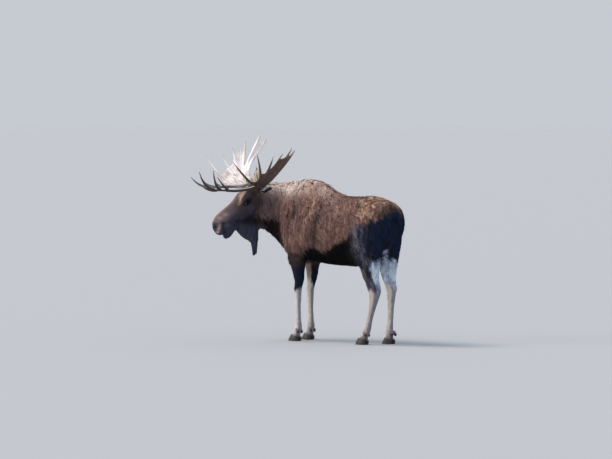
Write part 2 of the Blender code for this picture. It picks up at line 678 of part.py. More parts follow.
def ear_leaf(base, tip, opening, width):
    """A leaf rolled into a funnel at its root, closed and solid."""
    along = (tip - base).normalized()
    open_way = (opening - along * opening.dot(along)).normalized()
    across = along.cross(open_way)
    length = (tip - base).length
    rings = []
    shape = ((0.0, 0.48, 0.60), (0.12, 0.62, 0.62), (0.28, 0.90, 0.52), (0.45, 1.0, 0.40), (0.62, 0.90, 0.30), (0.80, 0.60, 0.20), (0.93, 0.28, 0.13), (1.0, 0.06, 0.06))
    for t, wide, deep in spline(shape, 3):
        half = width * wide
        depth = width * deep
        centre = base + along * (t * length)
        ring = []
        for k in range(20):
            a = 2 * math.pi * k / 20
            x = half * math.cos(a)
            # outer side bulges, open side is dished
            y = -depth * math.sin(a) if math.sin(a) > 0 else -0.25 * depth * math.sin(a)
            y += 0.35 * depth * (x / max(half, 1e-6)) ** 2
            if t < 0.2 and math.sin(a) < 0:
                y += -depth * 0.6 * (1 - t / 0.2) * math.sin(a)
            ring.append(centre + across * x + open_way * y)
        rings.append(ring)
    return loft("ear", rings), along, across, open_way


for side, (base, tip, opening) in EARS.items():
    root = crown(*base)
    end = crown(*tip)
    way = AHEAD * opening[0] + LEFT * opening[1] + HEAD_UP * opening[2]
    leaf, along, across, open_way = ear_leaf(root, end, way, EAR_WIDTH[side])
    thin = leaf.modifiers.new("decimate", "DECIMATE")
    thin.ratio = EAR_TRIANGLES / (2 * len(leaf.data.polygons))
    apply_modifiers(leaf)
    # the ear keeps a flat root face, and the head is cut flat beneath it
    cut = root + along * 0.045
    axes = (across, open_way, along)
    boolean(leaf, block("root_trim", cut - along * 0.05, axes, (0.2, 0.2, 0.10)))
    finish(leaf, f"ear_{side}", coat)
    socket = block("ear_seat", cut + along * (0.045 - GAP), axes, (0.110, 0.095, 0.09))
    boolean(flesh, socket)


# ---------------------------------------------------------------- hooves and dewclaws
def foot_frame(leg):
    table, sign, shift = LEGS[leg]
    low = table[-1]
    centre = body_point(sign * low[1], low[2] + shift(low[0]), 0)
    return centre, sign


def claw(centre, sign, lateral, grow=0.0):
    """One half of a cloven hoof: flat sole on the ground, sloping wall, cut at the hairline."""
    rings = []
    shape = (
        # height, toe, heel, half width
        (0.000, 0.094, -0.050, 0.0265),
        (0.018, 0.087, -0.060, 0.0285),
        (0.050, 0.068, -0.060, 0.0275),
        (0.105, 0.030, -0.044, 0.0235),
    )
    for height, toe, heel, half in shape:
        ring = []
        for k in range(14):
            a = 2 * math.pi * k / 14
            c, s = math.cos(a), math.sin(a)
            reach = (toe if c > 0 else -heel) * (abs(c) ** 0.9)
            ahead = math.copysign(reach, c)
            # the toe curves in towards the other claw, and the inner wall is flat
            squeeze = 1 - 0.55 * max(0.0, ahead / toe) ** 2
            wide = half * math.copysign(abs(s) ** 0.85, s)
            wide = wide * squeeze if wide * lateral > 0 else wide * (0.92 + 0.08 * squeeze)
            out = lateral * (TOE_SPLIT + half) + wide - lateral * 0.004 * max(0.0, ahead / toe)
            ring.append(centre + Vector((out, -ahead, height)))
        rings.append(ring)
    return loft("claw", rings)


def hairline(centre):
    """Point and normal of the plane where the hoof meets the hair: it falls towards the heel."""
    point = centre + Vector((0, -0.045, CORONET_FRONT))
    normal = Vector((0, math.sin(CORONET_SLOPE), math.cos(CORONET_SLOPE)))
    return point, normal


SPUR_RADII = (0.019, 0.021, 0.010)


def spur_line(centre, lateral):
    """Root, middle and tip of a dewclaw: a blunt cone that hangs behind the fetlock."""
    start = centre + Vector((lateral * 0.024, 0.040, 0.156))
    end = start + Vector((lateral * 0.010, 0.036, -0.058))
    return start, (start + end) / 2 + Vector((0, 0.004, 0)), end


for leg in LEGS:
    centre, sign = foot_frame(leg)
    point, normal = hairline(centre)
    side_axis = Vector((1, 0, 0))
    fore_axis = normal.cross(side_axis)
    axes = (side_axis, fore_axis, normal)
    # the flesh of the foot stops at the hairline
    boolean(flesh, block("foot_trim", point - normal * 0.08, axes, (0.30, 0.40, 0.16)))
    for which, lateral in (("outer", sign), ("inner", -sign)):
        half = claw(centre, sign, lateral)
        boolean(half, block("top_trim", point + normal * (0.10 - GAP), axes, (0.30, 0.40, 0.20)))
        finish(half, f"hoof_{leg}_{which}", horn, False)
        # dewclaw behind the fetlock
        start, bend, end = spur_line(centre, lateral)
        spur = rod("spur", [start, bend, end], SPUR_RADII, 1, 2)
        pocket = rod("pocket", [start - (end - start) * 0.012, bend, end], [r + 3 * GAP for r in SPUR_RADII], 1, 2)
        boolean(flesh, pocket)
        finish(spur, f"dewclaw_{leg}_{which}", horn)


# ---------------------------------------------------------------- tail
tail_rows = ((0.030, 1.600, 0.040, 0.040), (-0.010, 1.575, 0.040, 0.036), (-0.030, 1.540, 0.036, 0.030), (-0.036, 1.500, 0.028, 0.022), (-0.034, 1.465, 0.014, 0.012))
TAIL_ROOT = -0.866
rings = []
for back, height, half, deep in spline(tail_rows, 1):
    rings.append(section(body_point(0, TAIL_ROOT + back, height), Vector((1, 0, 0)), Vector((0, 0.80, 0.60)), half, deep, deep, count=12))
tail = loft("tail", rings)
seat = body_point(0, TAIL_ROOT - 0.004, 1.560)
way = Vector((0, 0.94, 0.34)).normalized()
axes = (Vector((1, 0, 0)), way.cross(Vector((1, 0, 0))), way)
boolean(tail, block("tail_trim", seat - way * 0.06, axes, (0.3, 0.5, 0.12)))
finish(tail, "tail", coat)
boolean(flesh, block("tail_seat", seat + axes[1] * 0.022 + way * (0.05 - GAP), axes, (0.092, 0.180, 0.10)))


# ---------------------------------------------------------------- parting the flesh
def slab(point, normal, across, wide, tall):
    normal = normal.normalized()
    across = (across - normal * across.dot(normal)).normalized()
    return block("slab", point, (across, normal.cross(across), normal), (wide, tall, GAP))


cuts = []
# head from neck: behind the antlers and ears, down to the throat behind the bell
neck_way = Vector((math.sin(math.radians(44)), -math.cos(math.radians(44)), -0.10))
cuts.append(slab(body_point(0.185, 1.105, 1.62), neck_way, LEFT_LEVEL, 0.50, 0.80))
# neck from trunk: a plane leaning back from the brisket to the withers
lean = Vector((0, -0.94, -0.34))
cuts.append(slab(body_point(0, 0.76, 1.50), lean, Vector((1, 0, 0)), 0.90, 1.30))
for leg, (table, sign, shift) in LEGS.items():
    ahead = table[4][2] + shift(table[4][0])
    if leg.startswith("fore"):
        # arm from trunk, along the chest wall, then forearm from cannon at the knee
        cuts.append(slab(body_point(sign * 0.185, 0.55 + shift(1), 0.995), Vector((-sign * 0.30, 0.45, 1)), Vector((1, 0, 0)), 0.34, 0.60))
        cuts.append(slab(body_point(sign * 0.145, 0.57 + shift(0.5), 0.615), Vector((0, 0, -1)), Vector((1, 0, 0)), 0.24, 0.30))
    else:
        cuts.append(slab(body_point(sign * 0.195, -0.57, 1.045), Vector((-sign * 0.35, -0.65, 1)), Vector((1, 0, 0)), 0.37, 0.90))
        cuts.append(slab(body_point(sign * 0.150, -0.65 + shift(0.6), 0.605), Vector((0, 0.15, -1)), Vector((1, 0, 0)), 0.26, 0.36))
# bell from the throat
cuts.append(slab(crown(0.08, 0, -0.532), HEAD_UP, LEFT, 0.24, 0.42))
for cut in cuts:
    boolean(flesh, cut)

PIECES = {
    "head": (face(0.30, -0.05), dark),
    "neck": (body_point(0.06, 0.93, 1.60), coat),
    "trunk": (body_point(0, 0.10, 1.40), coat),
    "bell": (crown(0.03, 0, -0.62), dark),
}
for leg, (table, sign, shift) in LEGS.items():
    upper, lower = ("forearm", "foreshank") if leg.startswith("fore") else ("thigh", "hindshank")
    side = leg.split("_")[1]
    row = table[5]
    PIECES[f"{upper}_{side}"] = (body_point(sign * row[1], row[2] + shift(row[0]), row[0] + 0.05), dark)
    row = table[9]
    PIECES[f"{lower}_{side}"] = (body_point(sign * row[1], row[2] + shift(row[0]), row[0] - 0.05), stocking)


def tidy(obj):
    """Points that the cuts left along straight edges and inside flat faces are dissolved."""
    bm = bmesh.new()
    bm.from_mesh(obj.data)
    bmesh.ops.remove_doubles(bm, verts=bm.verts, dist=0.0001)
    bmesh.ops.dissolve_limit(bm, angle_limit=math.radians(TIDY_ANGLE), verts=bm.verts, edges=bm.edges)
    bmesh.ops.triangulate(bm, faces=bm.faces)
    bm.to_mesh(obj.data)
    bm.free()


tidy(flesh)
bodies = split_bodies(flesh)
assert len(bodies) == len(PIECES), f"the flesh parted into {len(bodies)} bodies, not {len(PIECES)}"
for name, (where, mat) in PIECES.items():
    bodies.sort(key=lambda o: (middle(o) - where).length)
    finish(bodies.pop(0), name, mat)

# the whole object centred over the origin, on the ground
low = Vector((1e9,) * 3)
high = Vector((-1e9,) * 3)
for obj in collection.objects:
    for corner in obj.bound_box:
        for k in range(3):
            low[k] = min(low[k], corner[k])
            high[k] = max(high[k], corner[k])
shift_all = Vector((-(low.x + high.x) / 2, -(low.y + high.y) / 2, -low.z))
for obj in collection.objects:
    obj.data.transform(Matrix.Translation(shift_all))
print("moved by", tuple(round(c, 4) for c in shift_all))
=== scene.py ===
"""Looks of the bull moose: one skin inside the coat, the coat as joined mesh tufts, antlers, eyes and hooves.

The flesh is rebuilt here from the same anatomical masses as the solids, drawn in by the coat's depth,
and the head gets its lids, nostrils and lips. Hair is solid mesh: tapered locks that lie along the skin.
"""

import json
import math

import bmesh
import bpy
import numpy as np
from mathutils import Matrix, Vector
from mathutils.bvhtree import BVHTree
from mathutils.kdtree import KDTree

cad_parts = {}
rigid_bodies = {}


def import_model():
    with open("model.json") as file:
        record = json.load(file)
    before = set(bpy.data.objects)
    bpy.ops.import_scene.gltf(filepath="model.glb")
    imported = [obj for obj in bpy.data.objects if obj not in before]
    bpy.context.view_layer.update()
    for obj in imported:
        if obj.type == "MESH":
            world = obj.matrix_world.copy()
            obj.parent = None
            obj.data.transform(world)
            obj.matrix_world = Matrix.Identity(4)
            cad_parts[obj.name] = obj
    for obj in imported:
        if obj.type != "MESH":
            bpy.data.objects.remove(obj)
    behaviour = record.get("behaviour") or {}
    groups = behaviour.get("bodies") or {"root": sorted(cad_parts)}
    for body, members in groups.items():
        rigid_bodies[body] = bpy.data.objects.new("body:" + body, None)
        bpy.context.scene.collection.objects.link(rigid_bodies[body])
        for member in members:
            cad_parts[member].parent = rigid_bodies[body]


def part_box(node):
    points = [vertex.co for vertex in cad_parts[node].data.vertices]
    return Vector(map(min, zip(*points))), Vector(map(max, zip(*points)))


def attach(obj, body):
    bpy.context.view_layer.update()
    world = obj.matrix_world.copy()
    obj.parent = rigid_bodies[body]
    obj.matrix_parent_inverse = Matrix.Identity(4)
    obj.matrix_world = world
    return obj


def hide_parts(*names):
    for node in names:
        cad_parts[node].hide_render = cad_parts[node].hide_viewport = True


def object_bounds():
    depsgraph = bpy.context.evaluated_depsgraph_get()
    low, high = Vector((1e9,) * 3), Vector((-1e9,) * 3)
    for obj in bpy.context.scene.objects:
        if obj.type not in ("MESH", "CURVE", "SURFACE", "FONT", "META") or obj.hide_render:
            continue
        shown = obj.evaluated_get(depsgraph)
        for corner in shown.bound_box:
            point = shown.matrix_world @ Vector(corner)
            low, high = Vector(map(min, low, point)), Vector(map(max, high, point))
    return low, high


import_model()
cad_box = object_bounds()
rng = np.random.default_rng(20)

# ---------------------------------------------------------------- driving dimensions
SKIN_VOXEL = 0.010
ANTLER_VOXEL = 0.0036

HEAD_TURN = math.radians(55)  # head axis against the body axis, towards the left
HEAD_PITCH = math.radians(38)  # nose line below the horizontal
HEAD_ROLL = math.radians(5.5)  # right side up
CROWN = Vector((0.257, -1.176, 1.870))  # midpoint between the antler bases
POLL_BACK = 0.06  # the head axis starts this far behind the crown

EYE_RADIUS = 0.0225
EYE = (0.266, -0.024, 0.106)  # along the head axis, above it, to the side

# Trunk sections: distance ahead of mid-body, top, bottom, half width, height of the widest level,
# fullness above and below that level (2 is an ellipse, less is narrower).
TRUNK = (
    (-0.878, 1.575, 1.440, 0.050, 1.50, 2.0, 2.0),
    (-0.855, 1.640, 1.350, 0.120, 1.49, 2.1, 2.0),
    (-0.800, 1.700, 1.250, 0.185, 1.47, 2.1, 2.0),
    (-0.710, 1.753, 1.150, 0.238, 1.45, 2.1, 2.0),
    (-0.540, 1.793, 1.030, 0.275, 1.42, 2.1, 2.0),
    (-0.340, 1.790, 0.950, 0.290, 1.38, 2.0, 2.1),
    (-0.120, 1.788, 0.935, 0.305, 1.34, 1.9, 2.2),
    (0.080, 1.845, 0.945, 0.312, 1.32, 1.8, 2.3),
    (0.250, 1.945, 0.965, 0.310, 1.33, 1.65, 2.3),
    (0.400, 2.000, 0.985, 0.298, 1.36, 1.6, 2.3),
    (0.550, 1.995, 1.000, 0.280, 1.40, 1.65, 2.2),
    (0.700, 1.970, 1.040, 0.250, 1.44, 1.8, 2.1),
    (0.820, 1.945, 1.090, 0.205, 1.50, 1.9, 2.0),
    (0.870, 1.880, 1.180, 0.140, 1.53, 2.0, 2.0),
)

# Neck sections: left of and ahead of the body's middle, heading in degrees to the left,
# top, bottom, half width.
NECK = (
    (0.000, 0.600, 0, 1.955, 1.090, 0.215),
    (0.012, 0.790, 9, 1.948, 1.060, 0.195),
    (0.055, 0.930, 21, 1.950, 1.165, 0.168),
    (0.115, 1.040, 34, 1.952, 1.290, 0.148),
    (0.175, 1.115, 46, 1.930, 1.345, 0.132),
    (0.225, 1.155, 55, 1.860, 1.370, 0.112),
)

# Head sections along the head axis: station, top, bottom, half width, level of the widest point.
HEAD = (
    (-0.060, 0.030, -0.200, 0.075, -0.080),
    (0.000, 0.070, -0.235, 0.105, -0.065),
    (0.100, 0.103, -0.245, 0.118, -0.050),
    (0.200, 0.119, -0.240, 0.123, -0.030),
    (0.270, 0.110, -0.228, 0.122, -0.025),
    (0.350, 0.092, -0.215, 0.104, -0.035),
    (0.450, 0.082, -0.190, 0.085, -0.045),
    (0.540, 0.078, -0.168, 0.076, -0.050),
    (0.620, 0.075, -0.168, 0.079, -0.058),
    (0.680, 0.060, -0.176, 0.084, -0.064),
    (0.722, 0.028, -0.172, 0.080, -0.072),
    (0.752, -0.016, -0.156, 0.064, -0.082),
    (0.772, -0.050, -0.128, 0.036, -0.088),
)
JAW = (
    (0.140, -0.100, -0.215, 0.055, -0.150),
    (0.220, -0.100, -0.243, 0.070, -0.170),
    (0.330, -0.110, -0.248, 0.070, -0.175),
    (0.450, -0.115, -0.232, 0.060, -0.175),
    (0.560, -0.125, -0.228, 0.053, -0.178),
    (0.630, -0.135, -0.255, 0.055, -0.192),
    (0.685, -0.150, -0.254, 0.049, -0.200),
    (0.720, -0.172, -0.234, 0.029, -0.203),
)

# Bell (the flap of skin under the throat): height below the crown, front and back reach, half width.
BELL = (
    (-0.400, 0.225, -0.050, 0.075),
    (-0.470, 0.236, -0.054, 0.070),
    (-0.530, 0.221, -0.058, 0.062),
    (-0.575, 0.186, -0.059, 0.055),
    (-0.620, 0.130, -0.057, 0.046),
    (-0.652, 0.072, -0.054, 0.036),
    (-0.685, 0.034, -0.052, 0.027),
    (-0.755, 0.024, -0.050, 0.021),
    (-0.825, 0.014, -0.046, 0.011),
)

# Leg sections: height, left or right of the middle, ahead of mid-body, half width, half depth.
FORELEG = (
    (1.500, 0.150, 0.540, 0.070, 0.150),
    (1.350, 0.185, 0.555, 0.090, 0.175),
    (1.200, 0.190, 0.555, 0.095, 0.160),
    (1.050, 0.178, 0.558, 0.084, 0.138),
    (0.905, 0.162, 0.552, 0.066, 0.098),
    (0.760, 0.150, 0.545, 0.051, 0.068),
    (0.680, 0.146, 0.560, 0.045, 0.053),
    (0.630, 0.145, 0.570, 0.045, 0.050),
    (0.560, 0.145, 0.566, 0.036, 0.042),
    (0.400, 0.145, 0.565, 0.030, 0.035),
    (0.250, 0.146, 0.560, 0.031, 0.037),
    (0.175, 0.148, 0.560, 0.042, 0.047),
    (0.120, 0.149, 0.574, 0.043, 0.043),
    (0.075, 0.150, 0.592, 0.050, 0.050),
    (0.040, 0.150, 0.603, 0.052, 0.056),
)
HIND_NEAR = (
    (1.600, 0.130, -0.520, 0.110, 0.200),
    (1.400, 0.150, -0.545, 0.145, 0.255),
    (1.250, 0.158, -0.560, 0.138, 0.245),
    (1.130, 0.160, -0.568, 0.118, 0.215),
    (1.030, 0.162, -0.578, 0.096, 0.178),
    (0.930, 0.162, -0.592, 0.076, 0.146),
    (0.820, 0.155, -0.605, 0.060, 0.118),
    (0.740, 0.151, -0.632, 0.050, 0.106),
    (0.670, 0.150, -0.655, 0.047, 0.102),
    (0.590, 0.149, -0.655, 0.040, 0.078),
    (0.440, 0.148, -0.618, 0.034, 0.050),
    (0.290, 0.147, -0.575, 0.033, 0.038),
    (0.180, 0.147, -0.542, 0.043, 0.045),
    (0.120, 0.148, -0.515, 0.043, 0.043),
    (0.075, 0.150, -0.488, 0.050, 0.050),
    (0.040, 0.150, -0.473, 0.052, 0.056),
)
# How far behind the left hind leg the right one stands, by height.
HIND_FAR_BACK = ((0.0, -0.185), (0.18, -0.103), (0.29, -0.085), (0.44, -0.048), (0.59, -0.016), (0.85, -0.022), (1.25, 0.0))
# It is a little straighter and slimmer about the hock: share of the left leg's depth, by height.
HIND_FAR_SLIM = ((0.20, 1.0), (0.44, 0.84), (0.62, 0.74), (0.80, 0.84), (1.05, 0.95), (1.30, 1.0))
FORE_FAR_AHEAD = 0.050

CORONET_FRONT = 0.078  # height of the hairline at the toe side
CORONET_SLOPE = math.radians(17)  # it falls towards the heel
TOE_SPLIT = 0.006  # half the space between the two claws



helpers = bpy.data.collections.new("cutters")
bpy.context.scene.collection.children.link(helpers)


def new_object(name, bm, where=helpers):
    mesh = bpy.data.meshes.new(name)
    bm.to_mesh(mesh)
    bm.free()
    obj = bpy.data.objects.new(name, mesh)
    where.objects.link(obj)
    if where is helpers:
        obj.hide_render = True
        obj.display_type = "WIRE"
    return obj


def spline(table, steps):
    """A Catmull-Rom curve through the rows of a table, with this many steps between rows."""
    rows = np.array(table, float)
    ends = np.vstack([2 * rows[0] - rows[1], rows, 2 * rows[-1] - rows[-2]])
    out = []
    for i in range(len(rows) - 1):
        a, b, c, d = ends[i : i + 4]
        for k in range(steps):
            t = k / steps
            out.append(0.5 * (2 * b + (c - a) * t + (2 * a - 5 * b + 4 * c - d) * t * t + (3 * b - a - 3 * c + d) * t**3))
    out.append(rows[-1])
    return out


def section(centre, side, up, half, above, below, full_up=2.0, full_down=2.0, count=28):
    """One closed section: half wide, reaching above and below its centre."""
    points = []
    for k in range(count):
        a = 2 * math.pi * k / count
        c, s = math.cos(a), math.sin(a)
        power = 2 / (full_up if s >= 0 else full_down)
        x = half * math.copysign(abs(c) ** power, c)
        y = (above if s >= 0 else below) * math.copysign(abs(s) ** power, s)
        points.append(centre + side * x + up * y)
    return points


def loft(name, sections):
    """A closed skin over sections of unlike shape, capped at both ends."""
    bm = bmesh.new()
    rings = [[bm.verts.new(p) for p in ring] for ring in sections]
    for low, high in zip(rings, rings[1:]):
        for k in range(len(low)):
            n = (k + 1) % len(low)
            bm.faces.new((low[k], low[n], high[n], high[k]))
    bm.faces.new(list(reversed(rings[0])))
    bm.faces.new(rings[-1])
    bmesh.ops.recalc_face_normals(bm, faces=bm.faces)
    return new_object(name, bm)


def ball(name, centre, radii, turn=None, segments=24, rings=14):
    bm = bmesh.new()
    bmesh.ops.create_uvsphere(bm, u_segments=segments, v_segments=rings, radius=1.0)
    bmesh.ops.scale(bm, vec=radii, verts=bm.verts)
    if turn is not None:
        bmesh.ops.transform(bm, matrix=turn.to_4x4(), verts=bm.verts)
    bmesh.ops.translate(bm, vec=centre, verts=bm.verts)
    return new_object(name, bm)


def block(name, centre, axes, sizes):
    """A box with its own axes: centre, three unit axes, three full sizes."""
    bm = bmesh.new()
    bmesh.ops.create_cube(bm, size=1.0)
    bmesh.ops.scale(bm, vec=sizes, verts=bm.verts)
    turn = Matrix((axes[0], axes[1], axes[2])).transposed()
    bmesh.ops.transform(bm, matrix=turn.to_4x4(), verts=bm.verts)
    bmesh.ops.translate(bm, vec=centre, verts=bm.verts)
    bmesh.ops.recalc_face_normals(bm, faces=bm.faces)
    return new_object(name, bm)


def rod(name, points, radii, resolution=5, steps=6):
    """A tapered round bar along points: a bevelled curve, turned into a mesh."""
    data = bpy.data.curves.new(name, "CURVE")
    data.dimensions = "3D"
    data.bevel_depth = 1.0
    data.bevel_resolution = resolution
    data.use_fill_caps = True
    path = spline([(*p, r) for p, r in zip(points, radii)], steps)
    line = data.splines.new("POLY")
    line.points.add(len(path) - 1)
    for point, row in zip(line.points, path):
        point.co = (row[0], row[1], row[2], 1)
        point.radius = max(row[3], 0.002)
    obj = bpy.data.objects.new(name, data)
    helpers.objects.link(obj)
    mesh = bpy.data.meshes.new_from_object(obj.evaluated_get(bpy.context.evaluated_depsgraph_get()))
    bpy.data.objects.remove(obj)
    bm = bmesh.new()
    bm.from_mesh(mesh)
    bmesh.ops.remove_doubles(bm, verts=bm.verts, dist=0.0001)
    bmesh.ops.recalc_face_normals(bm, faces=bm.faces)
    return new_object(name, bm)


def apply_modifiers(obj):
    graph = bpy.context.evaluated_depsgraph_get()
    mesh = bpy.data.meshes.new_from_object(obj.evaluated_get(graph))
    obj.modifiers.clear()
    obj.data = mesh



# ---------------------------------------------------------------- head frame
AHEAD = Vector((math.sin(HEAD_TURN), -math.cos(HEAD_TURN), 0))
LEFT_LEVEL = Vector((math.cos(HEAD_TURN), math.sin(HEAD_TURN), 0))
UP = Vector((0, 0, 1))
LEFT = LEFT_LEVEL * math.cos(HEAD_ROLL) - UP * math.sin(HEAD_ROLL)
HEAD_UP = UP * math.cos(HEAD_ROLL) + LEFT_LEVEL * math.sin(HEAD_ROLL)
AXIS = AHEAD * math.cos(HEAD_PITCH) - HEAD_UP * math.sin(HEAD_PITCH)
NORMAL = AHEAD * math.sin(HEAD_PITCH) + HEAD_UP * math.cos(HEAD_PITCH)


def crown(ahead, left, above):
    """A point in the level head frame, from the crown."""
    return CROWN + AHEAD * ahead + LEFT * left + HEAD_UP * above


def face(station, above, left=0.0):
    """A point by the head axis: distance from the poll, above the axis, to the left."""
    return crown(-POLL_BACK, 0, 0) + AXIS * station + NORMAL * above + LEFT * left


def body_point(left, ahead, height):
    return Vector((left, -ahead, height))


# ---------------------------------------------------------------- flesh masses
def trunk_mass():
    rings = []
    for ahead, top, bottom, half, level, up, down in spline(TRUNK, 4):
        centre = body_point(0, ahead, level)
        rings.append(section(centre, Vector((1, 0, 0)), UP, half, top - level, level - bottom, up, down, 36))
    return loft("trunk_mass", rings)


def neck_mass():
    rings = []
    for left, ahead, heading, top, bottom, half in spline(NECK, 4):
        turn = math.radians(heading)
        side = Vector((math.cos(turn), math.sin(turn), 0))
        level = bottom + 0.52 * (top - bottom)
        rings.append(section(body_point(left, ahead, level), side, UP, half, top - level, level - bottom, 2.0, 1.9, 32))
    return loft("neck_mass", rings)


def head_mass(name, table, full_up, full_down):
    rings = []
    for station, top, bottom, half, level in spline(table, 4):
        centre = face(station, level)
        rings.append(section(centre, LEFT, NORMAL, half, top - level, level - bottom, full_up, full_down, 32))
    return loft(name, rings)


def bell_mass():
    rings = []
    for height, front, back, half in spline(BELL, 3):
        centre = crown(0.5 * (front + back), 0, height)
        rings.append(section(centre, AHEAD, LEFT, 0.5 * (front - back), half, half, 2.2, 2.2, 20))
    return loft("bell_mass", rings)


def far_back(height):
    heights, shifts = zip(*HIND_FAR_BACK)
    return float(np.interp(height, heights, shifts))


def leg_mass(name, table, sign, shift):
    rings = []
    for height, side, ahead, half, depth in spline(table, 3):
        if name == "hind_right":
            depth *= float(np.interp(height, *zip(*HIND_FAR_SLIM)))
        centre = body_point(sign * side, ahead + shift(height), height)
        rings.append(section(centre, Vector((0, -1, 0)), Vector((sign, 0, 0)), depth, half, half, 2.1, 2.1, 22))
    return loft(name, rings)


LEGS = {
    "fore_left": (FORELEG, 1, lambda z: 0.0),
    "fore_right": (FORELEG, -1, lambda z: FORE_FAR_AHEAD),
    "hind_left": (HIND_NEAR, 1, lambda z: 0.0),
    "hind_right": (HIND_NEAR, -1, far_back),
}


def flesh_masses():
    masses = [trunk_mass(), neck_mass(), bell_mass()]
    masses.append(head_mass("head_mass", HEAD, 2.1, 2.3))
    masses.append(head_mass("jaw_mass", JAW, 2.2, 2.2))
    for name, (table, sign, shift) in LEGS.items():
        masses.append(leg_mass(name, table, sign, shift))
    for sign in (1, -1):
        # shoulder blade and upper arm, haunch, flank fold, hip
        masses.append(ball("shoulder", body_point(sign * 0.168, 0.54, 1.44), (0.108, 0.225, 0.37), Matrix.Rotation(math.radians(-10), 3, "X") @ Matrix.Rotation(math.radians(-9 * sign), 3, "Y")))
        masses.append(ball("haunch", body_point(sign * 0.148, -0.632, 1.455), (0.126, 0.235, 0.275), Matrix.Rotation(math.radians(-8), 3, "X")))
        masses.append(ball("flank", body_point(sign * 0.185, -0.36, 1.16), (0.075, 0.150, 0.230), Matrix.Rotation(math.radians(28), 3, "X")))
        masses.append(ball("barrel", body_point(sign * 0.150, 0.08, 1.32), (0.165, 0.420, 0.320)))
        # eye socket rim, cheek muscle, nostril wing, stub under the antler
        masses.append(ball("orbit", face(EYE[0] - 0.004, EYE[1] + 0.016, sign * 0.092), (0.036, 0.036, 0.036)))
        masses.append(ball("cheek", face(0.230, -0.130, sign * 0.068), (0.075, 0.075, 0.095)))
        masses.append(ball("gullet", crown(0.000, sign * 0.045, -0.300), (0.075, 0.075, 0.100)))
        masses.append(ball("nostril_wing", face(0.690, -0.030, sign * 0.058), (0.036, 0.036, 0.036)))
        masses.append(rod("pedicle", [crown(-0.005, sign * 0.05, -0.045), crown(0.0, sign * 0.085, -0.012), crown(0.0, sign * 0.135, 0.012)], [0.055, 0.046, 0.036]))
    # throat, brisket and the sheath on the belly line
    masses.append(ball("throat", crown(0.015, 0, -0.395), (0.080, 0.085, 0.130)))
    masses.append(ball("brisket", body_point(0, 0.735, 1.150), (0.165, 0.125, 0.130)))
    masses.append(ball("sheath", body_point(0, -0.20, 0.985), (0.055, 0.200, 0.058)))
    return masses


# ---------------------------------------------------------------- antlers
def bezier(a, b, c, t):
    return a * (1 - t) ** 2 + b * 2 * t * (1 - t) + c * t**2


def frame_point(row, sign):
    return crown(row[0], sign * row[1], row[2])


def palm_web(name, ribs, sign, thickness, bays, columns=6, rows=9):
    """The blade between neighbouring ribs. Each rib is root, middle, base; its free edge dips in a bay between ribs."""
    flat = [[value for point in rib for value in point] for rib in ribs]
    lines = spline(flat, columns)
    grid = []
    for k, line in enumerate(lines):
        a, b, c = (Vector(line[i : i + 3]) for i in (0, 3, 6))
        between = (k % columns) / columns
        index = min(k // columns, len(bays) - 1)
        end = 1 - bays[index] * math.sin(math.pi * between) ** 0.8
        column = []
        for r in range(rows + 1):
            p = bezier(a, b, c, end * r / rows)
            column.append(frame_point(p, sign))
        grid.append(column)
    bm = bmesh.new()
    top, bottom = [], []
    for i, column in enumerate(grid):
        ups, downs = [], []
        for j, p in enumerate(column):
            along = grid[min(i + 1, len(grid) - 1)][j] - grid[max(i - 1, 0)][j]
            across = column[min(j + 1, rows)] - column[max(j - 1, 0)]
            normal = along.cross(across)
            normal = normal.normalized() if normal.length > 1e-9 else UP
            ups.append(bm.verts.new(p + normal * thickness / 2))
            downs.append(bm.verts.new(p - normal * thickness / 2))
        top.append(ups)
        bottom.append(downs)
    last = len(grid) - 1
    for i in range(last):
        for j in range(rows):
            bm.faces.new((top[i][j], top[i + 1][j], top[i + 1][j + 1], top[i][j + 1]))
            bm.faces.new((bottom[i][j], bottom[i][j + 1], bottom[i + 1][j + 1], bottom[i + 1][j]))
        bm.faces.new((top[i][0], bottom[i][0], bottom[i + 1][0], top[i + 1][0]))
        bm.faces.new((top[i][rows], top[i + 1][rows], bottom[i + 1][rows], bottom[i][rows]))
    for j in range(rows):
        bm.faces.new((top[0][j], top[0][j + 1], bottom[0][j + 1], bottom[0][j]))
        bm.faces.new((top[last][j], bottom[last][j], bottom[last][j + 1], top[last][j + 1]))
    bmesh.ops.recalc_face_normals(bm, faces=bm.faces)
    return new_object(name, bm)


def tine(name, rib, tip, sign, thick, bend=0.0):
    """A point growing out of a rib's end, tapering to its tip."""
    a, b, c = (Vector(p) for p in rib)
    t = Vector(tip)
    start = bezier(a, b, c, 0.62)
    control = c + (c - start) * 0.35 + Vector((0, 0, -bend))
    points = [bezier(start, control, t, k / 4) for k in range(5)]
    radii = [thick * k for k in (0.85, 1.0, 0.86, 0.58, 0.22)]
    return rod(name, [frame_point(p, sign) for p in points], radii)


# Each rib of a palm: root on the beam, middle, base of its point, the point's tip (ahead, out, up).
PALM_LEFT = (
    ((0.030, 0.235, 0.055), (0.110, 0.300, 0.080), (0.165, 0.365, 0.128), (0.432, 0.636, 0.391)),
    ((0.020, 0.240, 0.075), (0.020, 0.330, 0.120), (0.022, 0.420, 0.222), (0.127, 0.590, 0.498)),
    ((0.000, 0.240, 0.070), (-0.030, 0.350, 0.130), (-0.060, 0.470, 0.285), (-0.078, 0.620, 0.460)),
    ((-0.015, 0.235, 0.060), (-0.075, 0.350, 0.130), (-0.168, 0.550, 0.424), (-0.192, 0.622, 0.492)),
    ((-0.030, 0.225, 0.050), (-0.125, 0.365, 0.135), (-0.274, 0.580, 0.480), (-0.305, 0.605, 0.566)),
    ((-0.045, 0.210, 0.040), (-0.150, 0.370, 0.125), (-0.310, 0.595, 0.472), (-0.335, 0.632, 0.540)),
)
PALM_LEFT_BAYS = (0.52, 0.10, 0.12, 0.06, 0.03)
